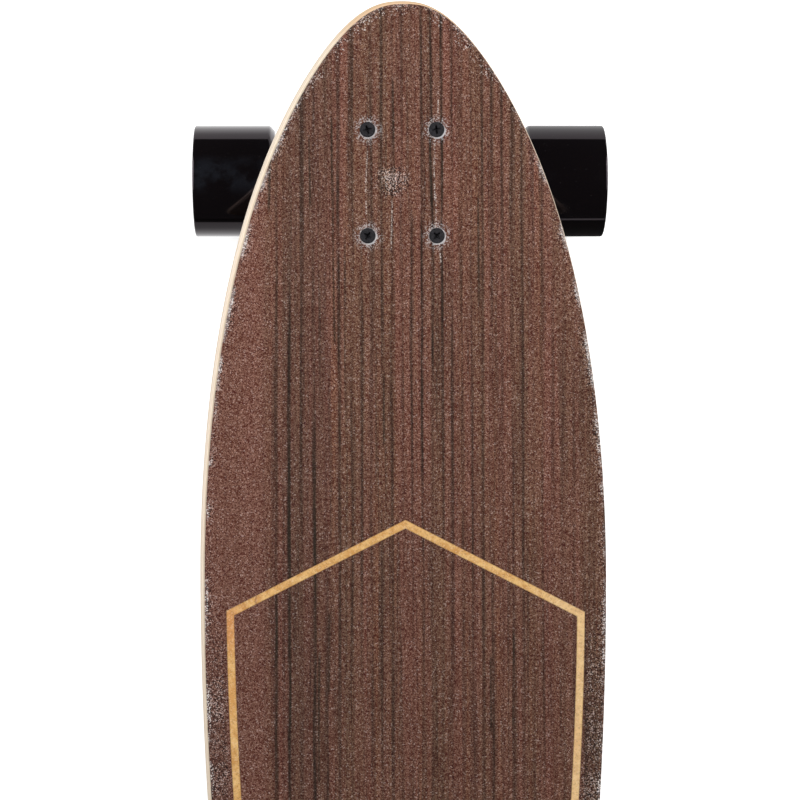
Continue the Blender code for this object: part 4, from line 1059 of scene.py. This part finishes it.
hanger_parts = [
    turned(rounded([
        (-HANGER_HALF, 0), (-HANGER_HALF, 0.008), (-0.05, 0.0086), (-0.02, 0.0095), (0.02, 0.0095),
        (0.05, 0.0086), (HANGER_HALF, 0.008), (HANGER_HALF, 0),
    ], (0, 0.001, 0.008, 0.008, 0.008, 0.008, 0.001, 0)), 64, AXLE, ALONG_X),
    turned(rounded([(-0.0055, 0), (-0.0055, 0.0127), (0, 0.0147), (0.0055, 0.0127), (0.0055, 0)],
                   (0, 0.0008, 0.003, 0.0008, 0)), 96, RING, KINGPIN),
    turned(rounded([
        (-0.0046, 0), (-0.004, 0.0036), (0.001, 0.0047), (0.005, 0.0047), (0.009, 0.0068),
        (PIVOT_REACH - 0.0134, 0.007), (PIVOT_REACH - 0.0124, 0.005), (PIVOT_REACH - 0.006, 0.005),
        (PIVOT_REACH - 0.006, 0),
    ], 0.0009), 64, PIVOT, SLANT),
    web_grid(),
]
hanger_holes = [rod(-0.012, 0.012, 0.0078, 64, RING, KINGPIN),
                rod(-0.1, 0.1, AXLE_RADIUS + GAP, 32, AXLE, ALONG_X)]
for end in ENDS:
    hanger = casting(end, "cast_hanger", hanger_parts, hanger_holes)
    fit(hanger, [CAST_BLACK], f"{end}_truck", f"{end}_hanger")


# Axles
# An 8 mm steel axle through each hanger, threaded at both ends, with speed rings on both sides of each
# wheel and a spacer between its bearings.
AXLE_HALF, AXLE_PITCH = 0.1245, 0.00106
WHEEL_X = 0.103
BEARING_OFFSET, BEARING_HALF, BEARING_RADIUS = 0.00835, 0.0067 / 2, 0.011
SPACER = BEARING_OFFSET - BEARING_HALF - GAP
SPEED_RING, SPACER_RADIUS = 0.0062, 0.0055

bearing_out = WHEEL_X + BEARING_OFFSET + BEARING_HALF
thread_from = bearing_out + 0.0014
stations = (0, HANGER_HALF + GAP, WHEEL_X - BEARING_OFFSET - BEARING_HALF - GAP, WHEEL_X - SPACER,
            WHEEL_X + SPACER, bearing_out + GAP, bearing_out + 0.001, thread_from)
radii = (AXLE_RADIUS, SPEED_RING, AXLE_RADIUS, SPACER_RADIUS, AXLE_RADIUS, SPEED_RING, AXLE_RADIUS)
steps = rounded(np.column_stack([np.repeat(stations, 2)[1:-1], np.repeat(radii, 2)]), 0.0002, 3)
thread = thread_rows(thread_from, AXLE_HALF - 0.0005, AXLE_RADIUS, AXLE_PITCH, 8)
right = np.concatenate([steps, thread, [(AXLE_HALF, AXLE_RADIUS - 0.0006), (AXLE_HALF, 0)]])
axle_rows = np.concatenate([right[::-1] * (-1, 1), right[1:]])
right_end, left_end = (turned(axle_rows, 40, AXLE, ALONG_X, (low, high, AXLE_PITCH, 0.0005))
                       for low, high in ((thread_from, AXLE_HALF), (-AXLE_HALF, -thread_from)))
axle_grid = np.where((axle_rows[:, 0] < 0)[:, None, None], left_end, right_end)
for end in ENDS:
    axle = solid(f"{end}_steel_axle", [placed(axle_grid, end)], maps=[turned_map(axle_rows, 40)])
    fit(axle, [STEEL], f"{end}_truck", f"{end}_axle")


# Wheels
# Gloss black urethane tyres, 70 mm across and 51 mm wide, poured round a moulded core. The outer lip is
# small, the inner one a wider chamfer, and both faces are dished.
WHEEL_RADIUS, WHEEL_HALF = 0.035, 0.0255
CORE_RADIUS, CORE_HALF = 0.0168, 0.0148
SEAT_RADIUS = BEARING_RADIUS + GAP
MOUTH = BEARING_OFFSET + BEARING_HALF + 0.001


def gloss_urethane():
    """Gloss black urethane: deep black, fine mould lines round the tread and a few dull scuffs. The left
    wheels have a faint bluish painted sheen on top, a painted reflection of the dim room."""
    made, place = material("gloss_black_urethane", IOR=1.5, Specular_Tint=(1.0, 0.82, 0.93, 1.0))
    turn, along = surface(place)
    scuffs = place.noise(45.0, 6.0, 0.7).ease(0.56, 0.72)
    mould = (turn * 3.0).join(along * 2500.0).noise(1.0, 2.0)
    # Painted reflection: a faint bluish sheen along the top of the left wheels
    painted_sheen = place.noise(62.0, 4.0, 0.6).ease(0.42, 0.62) * (place.split()[0] < 0.0)
    colour = (scuffs.between(tone(9, 6, 7), tone(13, 11, 13))
              .coat(painted_sheen * abs(turn - 0.25).ease(0.065, 0.02), tone(25, 27, 32))
              .coat((place.noise(1700.0, 1.0) > 0.8) * 0.35, tone(160, 160, 160)))
    return finish(made, colour, scuffs.ease(0.0, 1.0, 0.055, 0.15), mould.bump(0.000004, 0.5))


def bearing_sections(offset):
    """Outer ring, inner ring and seal of one bearing, each a closed section."""
    def ring(low, high):
        left, right = offset - BEARING_HALF, offset + BEARING_HALF
        return rounded([(right, low), (right, high), (left, high), (left, low)], 0.0003, 4, closed=True)
    inset = BEARING_HALF - 0.0004
    seal = rounded([(offset + inset, 0.0061), (offset + inset - 0.0002, 0.0075), (offset + inset, 0.0098),
                    (offset - inset, 0.0098), (offset - inset + 0.0002, 0.0075), (offset - inset, 0.0061)],
                   0.0004, 4, closed=True)
    return ring(0.0097, BEARING_RADIUS), ring(AXLE_RADIUS + GAP, 0.006), seal


TYRE = gloss_urethane()
CORE = moulded_black("moulded_core", 700.0, 0.35, tone(34, 34, 36), tone(52, 52, 54), (0.34, 0.5),
                     (0.00003, 0.4))
SEAL = clouded_plastic("bearing_seal", 700.0, tone(20, 20, 21), tone(36, 36, 37), (0.42, 0.58))
tyre_section = rounded([
    (WHEEL_HALF, WHEEL_RADIUS), (-WHEEL_HALF + 0.0036, WHEEL_RADIUS), (-WHEEL_HALF, WHEEL_RADIUS - 0.004),
    (-WHEEL_HALF + 0.0006, 0.028), (-WHEEL_HALF + 0.006, 0.02), (-0.015, CORE_RADIUS + GAP),
    (0.015, CORE_RADIUS + GAP), (WHEEL_HALF - 0.006, 0.0205), (WHEEL_HALF - 0.0006, 0.029),
], (0.0014, 0.0014, 0.0018, 0.0015, 0.002, 0.0006, 0.0006, 0.002, 0.0015), 8, closed=True)
core_section = rounded([
    (CORE_HALF, CORE_RADIUS), (-CORE_HALF, CORE_RADIUS), (-CORE_HALF, 0.0128), (-MOUTH, SEAT_RADIUS),
    (-SPACER, SEAT_RADIUS), (-SPACER, 0.0088), (SPACER, 0.0088), (SPACER, SEAT_RADIUS), (MOUTH, SEAT_RADIUS),
    (CORE_HALF, 0.0128),
], 0.0003, 4, closed=True)

# The four parts of a wheel: name, sections from the wheel's own middle outwards, segments, materials and
# their numbers, record slot and node
WHEEL_PARTS = [
    ("gloss_tyre", [tyre_section], 160, [TYRE], (0,), "wheel_urethane", "tyre"),
    ("moulded_core", [core_section], 96, [CORE], (0,), "wheel_core", "wheel_core"),
    ("outer_sealed_bearing", bearing_sections(BEARING_OFFSET), 64, [STEEL, SEAL], (0, 0, 1), "steel",
     "outer_bearing"),
    ("inner_sealed_bearing", bearing_sections(-BEARING_OFFSET), 64, [STEEL, SEAL], (0, 0, 1), "steel",
     "inner_bearing"),
]
for end in ENDS:
    for side, outward in (("left", -ENDS[end]), ("right", ENDS[end])):
        wheel, axis = f"{end}_{side}", (outward, 0, 0)
        middle_at = AXLE + np.array([outward * WHEEL_X, 0, 0])
        for name, sections, segments, materials, finishes, slot, node in WHEEL_PARTS:
            grids = [placed(turned(section, segments, middle_at, axis), end) for section in sections]
            maps = [turned_map(section, segments) for section in sections]
            part = solid(f"{wheel}_{name}", grids, finishes, maps)
            fit(part, materials, f"{wheel}_wheel", f"{wheel}_{node}")
        low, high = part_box(f"{wheel}_axle_nut")
        nut_from = AXLE + np.array([outward * (WHEEL_X + MOUTH + GAP), 0, 0])
        nut = nut_grids(0.0065, high.x - low.x, AXLE_RADIUS + 0.0001, 0.0018, nut_from, axis)
        grids = [placed(grid, end) for grid in nut]
        fit_nut(f"{wheel}_axle_lock_nut", grids, f"{end}_truck", f"{wheel}_axle_nut")


# Floor, light and camera
# A white sweep under the wheels, two tall soft lamps at the sides so that the wheels' tops stay dark, a
# dim room, and the camera straight above the nose half, a little to the left.
WHITE = (1.0, 1.0, 1.0, 1.0)


def stage_floor():
    """A round white floor. For glossy rays it glows as a pale sheet, a painted reflection that is brightest
    round the left front wheel, with the deck's painted shadow beside the deck: from the middle to the tail on
    the left, and between the trucks on the right."""
    profile = [(0, 0.0), (0, 0.3), (0, 0.7), (0, 1.5), (0, 6.0)]
    floor = solid("studio_floor", [turned(profile, 96, (0, 0, -0.0002))])
    floor.data.flip_normals()
    made, place = material("white_paper", Roughness=0.9, Emission_Color=WHITE)
    tree = made.node_tree
    seen, glossy, through = add_node(tree, "ShaderNodeLightPath", (), (
        "Is Camera Ray", "Is Glossy Ray", "Is Transmission Ray"))
    x, y, _ = place.split()
    mirrored = glossy | through
    # Painted shadow of the deck and a painted glow, seen only by glossy rays
    left_painted_shadow = x.ease(-0.055, -0.075) * y.ease(0.1, -0.02)
    right_painted_shadow = x.ease(0.055, 0.075) * y.window(-0.3, 0.33, 0.02)
    near = y.ease(0.242, 0.332, 0.0, 0.8) * y.ease(0.6, 0.385)
    level = (x < 0.0) * (y.ease(0.28, 0.38, 0.55, 0.85) + near - 0.7) + 0.7
    glow = mirrored * (1.0 - (left_painted_shadow | right_painted_shadow)) * level
    colour = seen.between((0.42, 0.42, 0.42, 1.0), (0.8, 0.8, 0.8, 1.0))
    colour = colour.coat(mirrored, (0.04, 0.04, 0.04, 1.0))
    finish(made, colour, Emission_Strength=seen * place.distance().ease(0.7, 1.8, 0.75, 1.0) + glow)
    behind = add_node(tree, "ShaderNodeNewGeometry", (), "Backfacing")
    paper = Wire(tree, tree.nodes["Principled BSDF"].outputs[0])
    both = add_node(tree, "ShaderNodeMixShader", (behind, paper, add_node(tree, "ShaderNodeBsdfTransparent")))
    tree.links.new(both.socket, tree.nodes["Material Output"].inputs["Surface"])
    floor.data.materials.append(made)


def soft_lamp(side, x):
    """A rectangular soft lamp at one side, which faces the board's nose half. The camera doesn't see it."""
    lamp = bpy.data.lights.new(f"{side}_lamp", "AREA")
    lamp.shape, lamp.energy, lamp.spread = "RECTANGLE", 6.9, radians(90)
    lamp.size, lamp.size_y = 1.6, 0.9
    holder = bpy.data.objects.new(f"{side}_lamp", lamp)
    bpy.context.scene.collection.objects.link(holder)
    holder.location = place = Vector((x, 0.6, 1.05))
    holder.rotation_euler = (Vector((0, 0.3, 0.1)) - place).to_track_quat("-Z", "Y").to_euler()
    holder.visible_camera = False


def room_light():
    """A dim even room, white where the camera sees it."""
    world = bpy.data.worlds.new("studio_room")
    world.use_nodes = True
    seen = add_node(world.node_tree, "ShaderNodeLightPath", (), "Is Camera Ray")
    colour = seen.between((0.06, 0.06, 0.063, 1.0), WHITE)
    world.node_tree.links.new(colour.socket, world.node_tree.nodes["Background"].inputs["Color"])
    bpy.context.scene.world = world


stage_floor()
room_light()
soft_lamp("left", -1.1)
soft_lamp("right", 1.1)
view = bpy.data.cameras.new("photo_view")
view.sensor_width, view.lens = 36, 99.54
view.clip_start, view.clip_end = 0.01, 50
camera = bpy.data.objects.new("photo_view", view)
bpy.context.scene.collection.objects.link(camera)
camera.location = (-0.0318, 0.2065, 1.4308)
camera.rotation_euler = tuple(radians(angle) for angle in (1.056, -1.304, -0.177))
bpy.context.scene.camera = camera
bpy.context.scene.view_settings.view_transform = "Standard"
